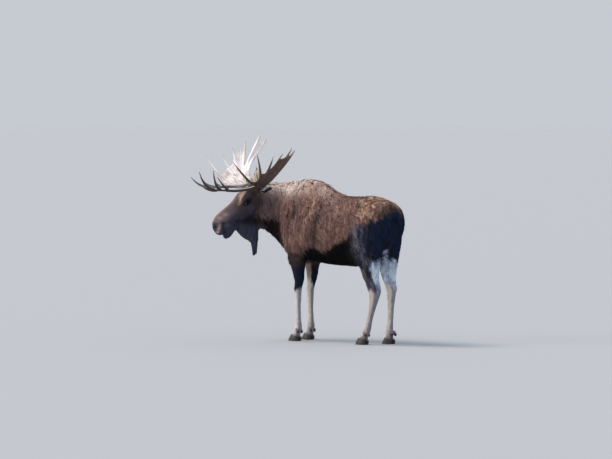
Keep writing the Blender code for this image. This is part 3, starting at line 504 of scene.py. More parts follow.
PALM_RIGHT = (
    ((0.070, 0.215, -0.012), (0.185, 0.285, -0.050), (0.290, 0.370, 0.000), (0.345, 0.430, 0.085)),
    ((0.065, 0.225, -0.005), (0.200, 0.335, -0.025), (0.350, 0.485, 0.105), (0.494, 0.640, 0.352)),
    ((0.055, 0.235, 0.025), (0.145, 0.375, 0.030), (0.232, 0.525, 0.205), (0.274, 0.600, 0.355)),
    ((0.042, 0.240, 0.055), (0.106, 0.395, 0.080), (0.142, 0.570, 0.352), (0.162, 0.592, 0.440)),
    ((0.034, 0.240, 0.062), (0.096, 0.398, 0.092), (0.048, 0.588, 0.378), (0.030, 0.602, 0.424)),
    ((0.026, 0.240, 0.066), (0.088, 0.395, 0.105), (0.002, 0.592, 0.405), (-0.016, 0.620, 0.524)),
    ((0.018, 0.235, 0.062), (0.106, 0.388, 0.132), (-0.160, 0.590, 0.520), (-0.200, 0.600, 0.584)),
    ((0.010, 0.225, 0.050), (0.058, 0.380, 0.208), (-0.233, 0.590, 0.468), (-0.278, 0.605, 0.545)),
)
PALM_RIGHT_BAYS = (0.06, 0.10, 0.11, 0.02, 0.01, 0.43, 0.03)
BEAM = ((0.000, 0.128, 0.010), (0.004, 0.175, 0.032), (0.006, 0.215, 0.050), (0.000, 0.262, 0.075))
BEAM_RADII = (0.039, 0.034, 0.036, 0.034)
BROW_STEM = ((0.040, 0.185, 0.026), (0.130, 0.205, 0.006), (0.270, 0.205, -0.012), (0.400, 0.192, -0.012))
BROW_RADII = (0.024, 0.020, 0.017, 0.016)
BROW_LEFT = (
    ((0.330, 0.200, -0.012), (0.370, 0.205, -0.005), (0.415, 0.212, 0.018), (0.530, 0.240, 0.162)),
    ((0.380, 0.195, -0.012), (0.450, 0.195, -0.010), (0.525, 0.195, 0.010), (0.575, 0.205, 0.240)),
    ((0.390, 0.190, -0.014), (0.500, 0.180, -0.014), (0.640, 0.165, 0.010), (0.738, 0.150, 0.216)),
    ((0.385, 0.185, -0.016), (0.480, 0.168, -0.018), (0.600, 0.145, -0.012), (0.700, 0.085, 0.045)),
)
BROW_RIGHT = (
    ((0.330, 0.205, -0.012), (0.380, 0.215, -0.005), (0.430, 0.235, 0.015), (0.461, 0.270, 0.079)),
    ((0.380, 0.195, -0.012), (0.450, 0.200, -0.010), (0.556, 0.205, 0.006), (0.620, 0.222, 0.096)),
    ((0.390, 0.190, -0.014), (0.500, 0.180, -0.016), (0.630, 0.165, -0.004), (0.775, 0.165, 0.118)),
    ((0.385, 0.185, -0.016), (0.460, 0.165, -0.020), (0.560, 0.140, -0.020), (0.650, 0.070, 0.035)),
)
BROW_BAYS = (0.30, 0.25, 0.25)
BURR_RADIUS = 0.047
# side, then ribs, bays and the points' thickness of the main palm and of the brow palm
ANTLERS = {
    "left": (1, PALM_LEFT, PALM_LEFT_BAYS, (0.0165, 0.0165, 0.0165, 0.0150, 0.0150, 0.0150), BROW_LEFT, (0.0150, 0.0185, 0.0185, 0.0150)),
    "right": (-1, PALM_RIGHT, PALM_RIGHT_BAYS, (0.0150, 0.0165, 0.0155, 0.0150, 0.0130, 0.0180, 0.0180, 0.0170), BROW_RIGHT, (0.0140, 0.0150, 0.0150, 0.0140)),
}




EAR_LENGTH = 0.235
EAR_WIDTH = {"left": 0.056, "right": 0.063}  # half width of the leaf
# base and tip in the crown's frame, and the way the open side faces
EARS = {
    "left": ((-0.070, 0.098, -0.030), (-0.130, 0.335, 0.025), (0.55, 0.10, 0.85)),
    "right": ((-0.060, -0.100, -0.020), (-0.068, -0.194, 0.212), (0.55, -0.83, 0.0)),
}


def ear_leaf(base, tip, opening, width):
    """A leaf rolled into a funnel at its root, closed and solid."""
    along = (tip - base).normalized()
    open_way = (opening - along * opening.dot(along)).normalized()
    across = along.cross(open_way)
    length = (tip - base).length
    rings = []
    shape = ((0.0, 0.48, 0.60), (0.12, 0.62, 0.62), (0.28, 0.90, 0.52), (0.45, 1.0, 0.40), (0.62, 0.90, 0.30), (0.80, 0.60, 0.20), (0.93, 0.28, 0.13), (1.0, 0.06, 0.06))
    for t, wide, deep in spline(shape, 3):
        half = width * wide
        depth = width * deep
        centre = base + along * (t * length)
        ring = []
        for k in range(20):
            a = 2 * math.pi * k / 20
            x = half * math.cos(a)
            # outer side bulges, open side is dished
            y = -depth * math.sin(a) if math.sin(a) > 0 else -0.25 * depth * math.sin(a)
            y += 0.35 * depth * (x / max(half, 1e-6)) ** 2
            if t < 0.2 and math.sin(a) < 0:
                y += -depth * 0.6 * (1 - t / 0.2) * math.sin(a)
            ring.append(centre + across * x + open_way * y)
        rings.append(ring)
    return loft("ear", rings), along, across, open_way


def foot_frame(leg):
    table, sign, shift = LEGS[leg]
    low = table[-1]
    centre = body_point(sign * low[1], low[2] + shift(low[0]), 0)
    return centre, sign


def claw(centre, sign, lateral, count=14, steps=1):
    """One half of a cloven hoof: flat sole on the ground, sloping wall, cut at the hairline."""
    rings = []
    shape = (
        # height, toe, heel, half width
        (0.000, 0.094, -0.050, 0.0265),
        (0.018, 0.087, -0.060, 0.0285),
        (0.050, 0.068, -0.060, 0.0275),
        (0.105, 0.030, -0.044, 0.0235),
    )
    for height, toe, heel, half in spline(shape, steps):
        ring = []
        for k in range(count):
            a = 2 * math.pi * k / count
            c, s = math.cos(a), math.sin(a)
            reach = (toe if c > 0 else -heel) * (abs(c) ** 0.9)
            ahead = math.copysign(reach, c)
            # the toe curves in towards the other claw, and the inner wall is flat
            squeeze = 1 - 0.55 * max(0.0, ahead / toe) ** 2
            wide = half * math.copysign(abs(s) ** 0.85, s)
            wide = wide * squeeze if wide * lateral > 0 else wide * (0.92 + 0.08 * squeeze)
            out = lateral * (TOE_SPLIT + half) + wide - lateral * 0.004 * max(0.0, ahead / toe)
            ring.append(centre + Vector((out, -ahead, height)))
        rings.append(ring)
    return loft("claw", rings)


def hairline(centre):
    """Point and normal of the plane where the hoof meets the hair: it falls towards the heel."""
    point = centre + Vector((0, -0.045, CORONET_FRONT))
    normal = Vector((0, math.sin(CORONET_SLOPE), math.cos(CORONET_SLOPE)))
    return point, normal


SPUR_RADII = (0.019, 0.021, 0.010)


def spur_line(centre, lateral):
    """Root, middle and tip of a dewclaw: a blunt cone that hangs behind the fetlock."""
    start = centre + Vector((lateral * 0.024, 0.040, 0.156))
    end = start + Vector((lateral * 0.010, 0.036, -0.058))
    return start, (start + end) / 2 + Vector((0, 0.004, 0)), end



TAIL_ROOT = -0.866
TAIL_ROWS = ((0.030, 1.600, 0.040, 0.040), (-0.010, 1.575, 0.040, 0.036), (-0.030, 1.540, 0.036, 0.030), (-0.036, 1.500, 0.028, 0.022), (-0.034, 1.465, 0.014, 0.012))


def tail_mass():
    rings = []
    for back, height, half, deep in spline(TAIL_ROWS, 3):
        rings.append(section(body_point(0, TAIL_ROOT + back, height), Vector((1, 0, 0)), Vector((0, 0.80, 0.60)), half, deep, deep, count=16))
    return loft("tail", rings)

# ---------------------------------------------------------------- numbers to meshes
def smooth(a, b, x):
    """0 before a, 1 after b, smooth between."""
    t = np.clip((x - a) / (b - a), 0, 1)
    return t * t * (3 - 2 * t)


def mix(a, b, t):
    return a + (b - a) * t


def unit(v):
    return v / np.maximum(np.linalg.norm(v, axis=-1, keepdims=True), 1e-9)


def noise(p, scale, seed=0):
    """Smooth value noise in -1..1 at points p; scale is lumps per metre, one number or three."""
    q = np.asarray(p, float) * scale + 37.1 + seed * 11.7
    i = np.floor(q)
    f = q - i
    f = f * f * (3 - 2 * f)
    total = np.zeros(len(q))
    for dx in (0, 1):
        for dy in (0, 1):
            for dz in (0, 1):
                h = np.sin((i[:, 0] + dx) * 127.1 + (i[:, 1] + dy) * 311.7 + (i[:, 2] + dz) * 74.7 + seed * 19.19) * 43758.5453
                h -= np.floor(h)
                w = (f[:, 0] if dx else 1 - f[:, 0]) * (f[:, 1] if dy else 1 - f[:, 1]) * (f[:, 2] if dz else 1 - f[:, 2])
                total += h * w
    return total * 2 - 1


def points_of(mesh):
    co = np.zeros(len(mesh.vertices) * 3, np.float32)
    mesh.vertices.foreach_get("co", co)
    return co.reshape(-1, 3).astype(float)


def set_points(mesh, co):
    mesh.vertices.foreach_set("co", np.ascontiguousarray(co, np.float32).ravel())
    mesh.update()


def vertex_normals(mesh):
    out = np.zeros(len(mesh.vertices) * 3, np.float32)
    mesh.vertex_normals.foreach_get("vector", out)
    return out.reshape(-1, 3).astype(float)


def paint(mesh, colour):
    """The markings, one linear colour for each vertex."""
    layer = mesh.attributes.new("markings", "FLOAT_COLOR", "POINT")
    rgba = np.ones((len(colour), 4), np.float32)
    rgba[:, :3] = np.clip(colour, 0, 1)
    layer.data.foreach_set("color", rgba.ravel())


def neighbours_mean(count, edges, value, fixed=None, rounds=1, factor=0.5):
    """Laplacian smoothing of a value on the mesh's vertices."""
    a, b = edges[:, 0], edges[:, 1]
    degree = np.bincount(a, minlength=count) + np.bincount(b, minlength=count)
    degree = np.maximum(degree, 1)[:, None] if value.ndim > 1 else np.maximum(degree, 1)
    for _ in range(rounds):
        total = np.zeros_like(value)
        if value.ndim > 1:
            for k in range(value.shape[1]):
                total[:, k] = np.bincount(a, value[b, k], count) + np.bincount(b, value[a, k], count)
        else:
            total = np.bincount(a, value[b], count) + np.bincount(b, value[a], count)
        new = value + factor * (total / degree - value)
        value = new if fixed is None else np.where(fixed[:, None] if value.ndim > 1 else fixed, value, new)
    return value


def edges_of(mesh):
    e = np.zeros(len(mesh.edges) * 2, np.int32)
    mesh.edges.foreach_get("vertices", e)
    return e.reshape(-1, 2)


def fuse(name, masses, voxel, rounds):
    """The masses joined into one closed skin by a voxel remesh, then smoothed."""
    bm = bmesh.new()
    for mass in masses:
        bm.from_mesh(mass.data)
        bpy.data.objects.remove(mass)
    obj = new_object(name, bm)
    remesh = obj.modifiers.new("remesh", "REMESH")
    remesh.mode = "VOXEL"
    remesh.voxel_size = voxel
    apply_modifiers(obj)
    mesh = obj.data
    edges, raw = edges_of(mesh), points_of(mesh)
    eased = neighbours_mean(len(raw), edges, raw, None, rounds, 0.5)
    set_points(mesh, eased)
    out = vertex_normals(mesh)
    # what the easing took off the narrow parts is put back, spread out so that the seams stay soft
    lost = np.sum((raw - eased) * out, 1)
    lost = neighbours_mean(len(raw), edges, lost, None, 8, 0.5)
    set_points(mesh, eased + out * lost[:, None])
    return obj


ORIGIN = np.array(crown(-POLL_BACK, 0, 0))
A_AXIS, A_NORMAL, A_LEFT = np.array(AXIS), np.array(NORMAL), np.array(LEFT)
A_CROWN, A_AHEAD, A_UP = np.array(CROWN), np.array(AHEAD), np.array(HEAD_UP)


def head_coords(p):
    """Station along the head axis, height above it, and distance to the left, for points p."""
    d = p - ORIGIN
    return d @ A_AXIS, d @ A_NORMAL, d @ A_LEFT


def crown_coords(p):
    d = p - A_CROWN
    return d @ A_AHEAD, d @ A_LEFT, d @ A_UP


def leg_of(p):
    """Which leg a point is nearest: arrays of side (+1 left) and fore (bool)."""
    sign = np.where(p[:, 0] > 0, 1.0, -1.0)
    fore = -p[:, 1] > -0.05
    return sign, fore


def leg_middle(p):
    """The leg's own axis at each point's height: (x, y)."""
    sign, fore = leg_of(p)
    z = p[:, 2]
    x = np.zeros(len(p))
    y = np.zeros(len(p))
    for name, (table, s, shift) in LEGS.items():
        rows = np.array(sorted(table))
        m = (sign == s) & (fore == name.startswith("fore"))
        if not m.any():
            continue
        zz = z[m]
        side = np.interp(zz, rows[:, 0], rows[:, 1])
        ahead = np.interp(zz, rows[:, 0], rows[:, 2])
        moved = np.array([shift(v) for v in np.linspace(0, 2, 81)])
        ahead = ahead + np.interp(zz, np.linspace(0, 2, 81), moved)
        x[m] = s * side
        y[m] = -ahead
    return x, y


def regions(p, n):
    """Soft masks, 0 to 1, of the parts of the body at points p with normals n."""
    s, a, l = head_coords(p)
    ca, cl, cu = crown_coords(p)
    x, ahead, z = p[:, 0], -p[:, 1], p[:, 2]
    r = {}
    near_head = (np.abs(l) < 0.24) & (ca > -0.20)
    r["head"] = np.where(near_head, smooth(-0.03, 0.09, ca + 0.10 * smooth(-0.30, -0.42, cu)), 0.0)
    r["bell"] = r["head"] * smooth(-0.395, -0.47, cu) * smooth(0.50, 0.40, s * 0 + ca + 0.08)
    r["muzzle"] = r["head"] * smooth(0.50, 0.60, s)
    r["leg"] = smooth(1.06, 0.94, z) * (1 - r["head"])
    r["shank"] = smooth(0.68, 0.60, z) * (1 - r["head"])
    neck = smooth(0.70, 0.86, ahead + 0.36 * (z - 1.5)) * smooth(0.98, 1.06, z)
    r["neck"] = neck * (1 - r["head"]) * (1 - r["leg"])
    body = (1 - r["head"]) * (1 - r["leg"]) * (1 - r["neck"])
    r["shoulder"] = body * smooth(0.18, 0.34, ahead)
    r["haunch"] = body * smooth(-0.36, -0.50, ahead)
    r["side"] = np.clip(body - r["shoulder"] - r["haunch"], 0, 1)
    r["top"] = (1 - r["head"]) * (1 - r["leg"]) * smooth(0.45, 0.85, n[:, 2])
    r["under"] = (1 - r["head"]) * smooth(-0.35, -0.75, n[:, 2]) * smooth(0.90, 0.97, z)
    return r


def coat_depth(p, n):
    """How deep the coat lies over the skin."""
    r = regions(p, n)
    s, a, l = head_coords(p)
    ca, cl, cu = crown_coords(p)
    d = 0.024 * np.ones(len(p))
    d = mix(d, 0.034, r["shoulder"])
    d = mix(d, 0.022, r["haunch"])
    d = mix(d, 0.036, r["neck"])
    d = mix(d, 0.036, r["top"] * smooth(0.05, 0.35, -p[:, 1]))
    d = mix(d, 0.040, r["under"] * smooth(-0.1, 0.3, -p[:, 1]))
    # neck underside: a mane of long hair
    d = mix(d, 0.045, r["neck"] * smooth(-0.2, -0.7, n[:, 2]))
    leg = mix(0.0045, 0.016, smooth(0.60, 0.95, p[:, 2]))
    d = mix(d, leg, r["leg"])
    face = mix(0.0085, 0.0035, smooth(0.12, 0.40, s))
    face = mix(face, 0.0016, r["muzzle"])
    face = mix(face, 0.012, smooth(-0.24, -0.36, cu) * smooth(0.45, 0.3, s))
    # hair stands up between and behind the antlers
    face = mix(face, 0.016, smooth(0.10, 0.02, s) * smooth(0.0, 0.05, a))
    d = mix(d, face, r["head"])
    bell = mix(0.016, 0.006, smooth(-0.55, -0.74, cu))
    d = mix(d, bell, r["bell"])
    return d


def coat_length(p, n):
    """Length and width of a lock."""
    r = regions(p, n)
    s, a, l = head_coords(p)
    ca, cl, cu = crown_coords(p)
    length = 0.074 * np.ones(len(p))
    length = mix(length, 0.098, r["shoulder"])
    length = mix(length, 0.052, r["haunch"])
    length = mix(length, 0.100, r["neck"])
    length = mix(length, 0.108, r["top"] * smooth(0.05, 0.35, -p[:, 1]))
    length = mix(length, 0.090, r["under"])
    leg = mix(0.020, 0.052, smooth(0.55, 1.0, p[:, 2]))
    leg = mix(leg, 0.040, smooth(0.26, 0.19, p[:, 2]) * smooth(0.06, 0.10, p[:, 2]))
    length = mix(length, leg, r["leg"])
    face = mix(0.030, 0.013, smooth(0.12, 0.40, s))
    face = mix(face, 0.008, r["muzzle"])
    face = mix(face, 0.048, smooth(-0.24, -0.36, cu) * smooth(0.45, 0.3, s))
    face = mix(face, 0.045, smooth(0.10, 0.02, s) * smooth(0.0, 0.05, a))
    length = mix(length, face, r["head"])
    bell = mix(0.070, 0.040, smooth(-0.60, -0.74, cu))
    length = mix(length, bell, r["bell"])
    width = 0.0028 + 0.105 * length
    return length, width


def coat_flow(p, n):
    """The lie of the coat: a unit direction along the skin."""
    r = regions(p, n)
    s, a, l = head_coords(p)
    ca, cl, cu = crown_coords(p)
    ahead, z = -p[:, 1], p[:, 2]
    one = np.ones(len(p))
    back = np.stack([0 * one, one, 0 * one], 1)
    down = np.stack([0 * one, 0 * one, -one], 1)
    outward = np.stack([np.sign(p[:, 0]), 0 * one, 0 * one], 1)
    # trunk: back along the spine, more and more down the sides
    lean = mix(0.75, 1.35, smooth(0.0, 0.5, ahead))
    lean = mix(lean, 1.1, smooth(-0.45, -0.7, ahead))
    flow = back + down * lean[:, None] + outward * 0.15
    # belly hair lies back
    flow = mix(flow, back * 1.0 + outward * 0.1, (r["under"])[:, None])
    # neck: away from the head, turning with it
    heading = math.radians(55) * smooth(0.65, 1.10, ahead)
    away = np.stack([-np.sin(heading), np.cos(heading), 0 * one], 1)
    neck = away + down * 1.25
    flow = mix(flow, neck, r["neck"][:, None])
    flow = mix(flow, down + back * 0.12, r["leg"][:, None])
    # head: from the nose back, and down the cheeks
    head = -A_AXIS * 1.0 - A_UP * (0.35 * smooth(0.02, -0.12, a))[:, None]
    # the muzzle's front parts at the nose: hair runs back and down around the lips
    head = mix(head, -A_AXIS * 0.7 - A_NORMAL * 0.8, (smooth(0.66, 0.76, s))[:, None])
    # jaw and throat
    head = mix(head, -A_AHEAD * 0.7 - A_UP * 0.7, (smooth(-0.14, -0.24, a) * smooth(0.5, 0.4, s))[:, None])
    flow = mix(flow, head, r["head"][:, None])
    flow = mix(flow, -A_UP * 1.0 + A_AHEAD * 0.10, r["bell"][:, None])
    # whorls and uneven lie
    swirl = np.stack([noise(p, 5, 1), noise(p, 5, 2), noise(p, 5, 3)], 1)
    curly = np.stack([noise(p, 17, 4), noise(p, 17, 5), noise(p, 17, 6)], 1)
    strength = mix(0.22, 0.10, r["head"] + r["leg"])
    curl = mix(0.20, 0.75, r["haunch"] * smooth(1.35, 1.5, z)) * (1 - 0.7 * np.clip(r["head"] + r["leg"], 0, 1))
    flow = unit(flow) + swirl * strength[:, None] * 1.6 + curly * curl[:, None]
    flow = flow - n * np.sum(flow * n, 1, keepdims=True)
    return unit(flow)


def srgb(r, g, b):
    v = np.array([r, g, b], float) / 255
    return np.where(v <= 0.04045, v / 12.92, ((v + 0.055) / 1.055) ** 2.4)


BROWN = srgb(120, 92, 85)
WARM = srgb(140, 100, 86)
TAN = srgb(206, 178, 160)
GREYBROWN = srgb(102, 86, 84)
GREY = srgb(120, 114, 120)
BLACK = srgb(8, 7, 10)
# black hair with the blue of sky-lit shade painted into it
BLACK_IN_BLUE_SHADE = srgb(27, 38, 61)
DARKBROWN = srgb(50, 38, 35)
CREAM = srgb(244, 228, 212)
# white hair with the blue of sky-lit shade painted into it
WHITE_IN_BLUE_SHADE = srgb(214, 228, 250)
FACE = srgb(84, 74, 78)

# height of the border between the brown upper body and the dark underside, by distance ahead
BORDER = ((-1.0, 1.62), (-0.86, 1.58), (-0.70, 1.53), (-0.58, 1.475), (-0.45, 1.45), (-0.37, 1.36), (-0.30, 1.32), (-0.12, 1.26), (0.05, 1.16), (0.13, 1.13), (0.19, 1.19), (0.29, 1.21), (0.36, 1.20), (0.42, 1.14), (0.50, 1.12), (0.70, 1.14), (0.90, 1.12), (1.1, 1.1))


def markings(p, n):
    """The coat's colour at points p, the same rule for skin and hair."""
    r = regions(p, n)
    s, a, l = head_coords(p)
    ca, cl, cu = crown_coords(p)
    ahead, z = -p[:, 1], p[:, 2]
    wob = noise(p, 9, 7) * 0.6 + noise(p, 22, 8) * 0.4
    bent = p + 0.03 * np.stack([noise(p, 3, 14), noise(p, 3, 15), 0 * p[:, 0]], 1)
    streak = noise(bent * np.array([1, 1, 0.14]), 24, 9) * 0.55 + noise(bent * np.array([1, 1, 0.20]), 58, 10) * 0.45
    streak = np.clip(streak * 1.7, -1, 1)
    broad = noise(p * np.array([1, 1, 0.45]), 7, 11)
    c = np.tile(BROWN, (len(p), 1))
    c = mix(c, WARM, (0.5 + 0.5 * broad)[:, None] * 0.7)
    c = mix(c, GREYBROWN, (smooth(0.25, 0.70, ahead) * 0.45 * (0.5 - 0.5 * broad))[:, None])
    # paler top line over hump and neck: partly the coat's tan, partly painted light on the tops that face the light
    c = mix(c, TAN, (r["top"] * smooth(-0.1, 0.35, ahead) * 0.85)[:, None])
    c = mix(c, TAN, (smooth(1.70, 1.92, z) * smooth(0.25, 0.45, ahead) * (1 - r["head"]) * 0.55)[:, None])
    c = mix(c, srgb(234, 214, 198), (smooth(1.79, 1.90, z + 0.02 * wob) * smooth(0.46, 0.80, ahead) * (1 - r["head"]) * 0.64)[:, None])
    # painted shade: the middle of the side is painted darker, as the flank lies in shade under the light from above;
    # the hump's crown is a shade darker too
    c = c * (1 - 0.18 * r["side"] * smooth(1.68, 1.52, z))[:, None]
    c = c * (1 - 0.12 * smooth(1.86, 1.94, z) * smooth(0.52, 0.42, ahead) * smooth(0.10, 0.20, ahead))[:, None]
    c = c * np.array((1.0, 0.99, 1.04))
    # haunch top: brighter, partly as painted light on the lit top, in small warm curls whose pale bits are painted
    # highlights
    c = mix(c, srgb(172, 134, 114), (r["haunch"] * smooth(1.46, 1.60, z) * 0.70)[:, None])
    curls = np.clip(noise(p, 46, 16) * 1.8, -1, 1)
    c = mix(c, srgb(222, 178, 146), (np.clip(curls, 0, 1) * r["haunch"] * smooth(1.44, 1.56, z) * 0.7)[:, None])
    c = mix(c, DARKBROWN, (np.clip(-curls, 0, 1) * r["haunch"] * 0.65)[:, None])
    # shoulder: pale vertical locks
    c = mix(c, srgb(176, 140, 116), (np.clip(streak, 0, 1) * (r["shoulder"] + r["side"] * 0.7 + r["neck"] * 0.5) * 0.62)[:, None])
    c = mix(c, DARKBROWN, (np.clip(-streak, 0, 1) * (r["shoulder"] + r["side"] * 0.8 + r["neck"]) * 0.64 * (1 - 0.75 * smooth(1.74, 1.86, z)))[:, None])
    # golden locks down the front of the shoulder
    gold = np.exp(-(((ahead - 0.40 + 0.40 * (z - 1.5)) / 0.060) ** 2)) * smooth(1.86, 1.70, z) * smooth(1.16, 1.34, z)
    c = mix(c, srgb(204, 164, 130), (np.clip(gold * (0.35 + 0.9 * streak), 0, 1) * 0.62 * (1 - r["head"]))[:, None])
    # painted shade: a dark line down the crease behind the shoulder
    line = np.exp(-(((ahead - 0.20 + 0.10 * (z - 1.4)) / 0.035) ** 2)) * smooth(1.75, 1.55, z)
    c = mix(c, DARKBROWN, (line * 0.55 * (1 - r["head"]))[:, None])
    # dark underside
    rows = np.array(BORDER)
    border = np.interp(ahead, rows[:, 0], rows[:, 1]) + 0.035 * wob
    dark = smooth(border + 0.03, border - 0.035, z + 0.02 * streak) * (1 - r["head"])
    under = mix(BLACK, GREYBROWN * 0.45, smooth(0.40, 0.54, ahead)[:, None])
    # painted shade and sheen: the thigh's black is tinted with the blue of sky-lit shade, and its blue-grey streaks are
    # painted highlights
    thigh = mix(srgb(32, 36, 50), srgb(104, 106, 124), (np.clip(streak * 1.4 - 0.1, 0, 1) * 0.75 * smooth(-0.74, -0.52, ahead))[:, None])
    thigh = mix(thigh, BLACK_IN_BLUE_SHADE, smooth(-0.62, -0.78, ahead)[:, None])
    under = mix(under, thigh, smooth(-0.36, -0.46, ahead)[:, None])
    c = mix(c, under, dark[:, None])
    # grey locks at the flank
    flank = np.exp(-(((ahead + 0.41) / 0.07) ** 2) - (((z - 1.33) / 0.16) ** 2))
    c = mix(c, GREY, (np.clip(flank * (0.75 + 0.7 * streak), 0, 1) * 0.85 * (1 - r["head"]))[:, None])
    # grey hair down the front edge of the thigh
    lead = ahead + 0.335 + (1.393 - z) * 0.538
    lead = smooth(0.02, -0.01, lead) * smooth(-0.13, -0.05, lead) * smooth(0.80, 0.90, z) * smooth(1.40, 1.30, z)
    c = mix(c, srgb(112, 106, 112), (np.clip(lead * (0.45 + 0.8 * streak), 0, 1) * 0.8 * (1 - r["head"]))[:, None])
    # rump: darker, and blue-black towards the tail, the blue being painted sky-lit shade
    c = mix(c, srgb(66, 52, 48), (smooth(-0.66, -0.80, ahead + 0.05 * wob + 0.03 * streak) * smooth(1.80, 1.70, z + 0.03 * wob) * (1 - dark) * 0.72)[:, None])
    c = mix(c, BLACK_IN_BLUE_SHADE, (smooth(-0.74, -0.86, ahead) * smooth(1.72, 1.58, z) * (1 - r["head"]))[:, None])
    # neck: dark under the throat and behind the ears
    throat = r["neck"] * smooth(1.64, 1.50, z + 0.06 * wob + 0.03 * streak) * smooth(0.79, 0.87, ahead + 0.03 * streak)
    c = mix(c, BLACK, (throat * 0.95)[:, None])
    c = mix(c, srgb(94, 82, 86), (r["neck"] * smooth(0.80, 0.98, ahead) * 0.60 * (1 - 0.7 * smooth(1.80, 1.90, z)) * (1 - throat))[:, None])
    c = mix(c, srgb(34, 30, 34), (r["neck"] * smooth(1.02, 1.14, ahead + 0.03 * streak) * smooth(1.54, 1.76, z + 0.06 * wob) * 0.8)[:, None])
    # legs
    mx, my = leg_middle(p)
    sign = np.where(p[:, 0] > 0, 1.0, -1.0)
    inner = smooth(0.0, 0.035, -(p[:, 0] - mx) * sign)
    rear = smooth(0.0, 0.05, p[:, 1] - my)
    front = smooth(0.0, 0.04, my - p[:, 1])
    fore = (ahead > -0.05).astype(float)
    # how far round the leg: 1 towards the other leg, and 1 towards the tail
    spread = np.maximum(np.hypot(p[:, 0] - mx, p[:, 1] - my), 1e-4)
    inward = -(p[:, 0] - mx) * sign / spread
    backward = (p[:, 1] - my) / spread
    # painted shade: the forelegs' backs are blue-black, dark hair in sky-lit shade
    upper = mix(srgb(52, 47, 50), BLACK_IN_BLUE_SHADE * 0.8, (smooth(-0.50, 0.55, backward + 0.15 * streak) * fore)[:, None])
    upper = mix(upper, srgb(40, 39, 46), (1 - fore)[:, None])
    upper = mix(upper, srgb(116, 108, 110), (smooth(0.10, 0.75, -backward) * smooth(1.02, 0.94, z) * (1 - fore) * 0.75)[:, None])
    upper = mix(upper, srgb(96, 90, 106), (smooth(0.88, 0.76, z) * (1 - fore) * smooth(0.95, 0.6, backward))[:, None])
    # a dark chevron on the outside of the hock
    chevron = np.exp(-((((p[:, 1] - my) + 0.022 + 0.25 * (z - 0.74)) / 0.020) ** 2)) * smooth(0.66, 0.70, z) * smooth(0.84, 0.76, z) * (inward < 0.2)
    upper = mix(upper, srgb(40, 38, 52), (chevron * (1 - fore) * 0.75)[:, None])
    c = mix(c, upper, (r["leg"] * smooth(1.00, 0.90, z))[:, None])
    # hind legs: pale inside and behind, from the fork down to the hock
    blot = np.clip(0.75 + 0.9 * noise(p, 26, 17), 0, 1)
    pale = mix(WHITE_IN_BLUE_SHADE, srgb(186, 180, 200), (smooth(0.80, 0.72, z) * 0.7)[:, None]) * (0.58 + 0.42 * blot)[:, None]
    score = inward + 1.22 * np.maximum(backward, 0) - 0.35 * np.maximum(-backward, 0) - 0.62 * smooth(0.90, 0.72, z) * (inward < 0.3)
    # the patch fades in from a blue grey through streaks
    ragged = score - 0.06 + 0.22 * streak + 0.12 * wob
    hind_in = (1 - fore) * smooth(-0.16, 0.26, ragged) * smooth(1.06, 0.97, z + 0.035 * wob + 0.04 * streak)
    pale = mix(srgb(112, 128, 158), pale, smooth(0.02, 0.34, ragged)[:, None])
    wedge = (1 - fore) * smooth(0.045, 0.0, np.abs(p[:, 1] - my - 0.02) - 0.10 * (1.24 - z) + 0.03 * streak) * smooth(0.35, 0.7, inward) * smooth(1.26, 1.12, z) * 0.75
    # painted light: the right hind leg's pale patch is painted brighter, lifting the shade between the legs
    pale = pale * np.where(p[:, 0] > 0, 1.0, 1.14)[:, None]
    c = mix(c, pale, (np.clip(hind_in + wedge, 0, 1) * (1 - r["head"]) * (z < 1.26))[:, None])
    # forelegs: a tan strip down the inner front
    strip = fore * smooth(-0.05, 0.30, inward - 0.45 * backward) * smooth(1.02, 0.96, z + 0.03 * wob) * smooth(0.62, 0.40, backward)
    c = mix(c, mix(srgb(168, 150, 140), CREAM, smooth(0.85, 0.68, z)[:, None]), (strip * (1 - r["head"]) * (z < 1.05) * 0.95)[:, None])
    # stockings: cream in front, blue-grey behind as painted shade on the back of the leg, darker towards the hooves
    cream = mix(CREAM, srgb(206, 180, 170), (0.5 + 0.5 * noise(p, 30, 12))[:, None] * 0.35)
    cream = mix(cream, srgb(134, 138, 158), (smooth(0.20, 0.72, backward - 0.30 * np.maximum(inward, 0) + 0.10 * wob) * 0.82)[:, None])
    cream = mix(cream, srgb(122, 108, 110), (smooth(0.30, 0.12, z) * 0.45)[:, None])
    cream = mix(cream, srgb(70, 60, 60), (smooth(0.13, 0.085, z) * 0.6)[:, None])
    # painted light: the left foreleg's stocking is painted brighter, where the light falls on it; the left hind's is
    # darker
    cream = cream * np.where(p[:, 0] > 0, mix(0.80, 1.14, fore), 1.0)[:, None]
    # the hock keeps a dark patch on its outer side, the knee a pale cap in front
    edge = 0.640 + 0.025 * (1 - fore) + 0.08 * smooth(0.2, 0.8, inward) + 0.020 * backward * fore
    stocking = smooth(edge + 0.03, edge - 0.035, z + 0.02 * wob + 0.03 * streak)
    c = mix(c, cream, (stocking * (1 - r["head"]))[:, None])
    # head
    h = np.tile(FACE, (len(p), 1))
    nose_side = smooth(0.34, 0.48, s) * smooth(-0.085, -0.02, a + 0.02 * wob + 0.05 * smooth(0.55, 0.70, s))
    h = mix(h, srgb(140, 118, 122), (nose_side * (0.75 + 0.25 * wob))[:, None])
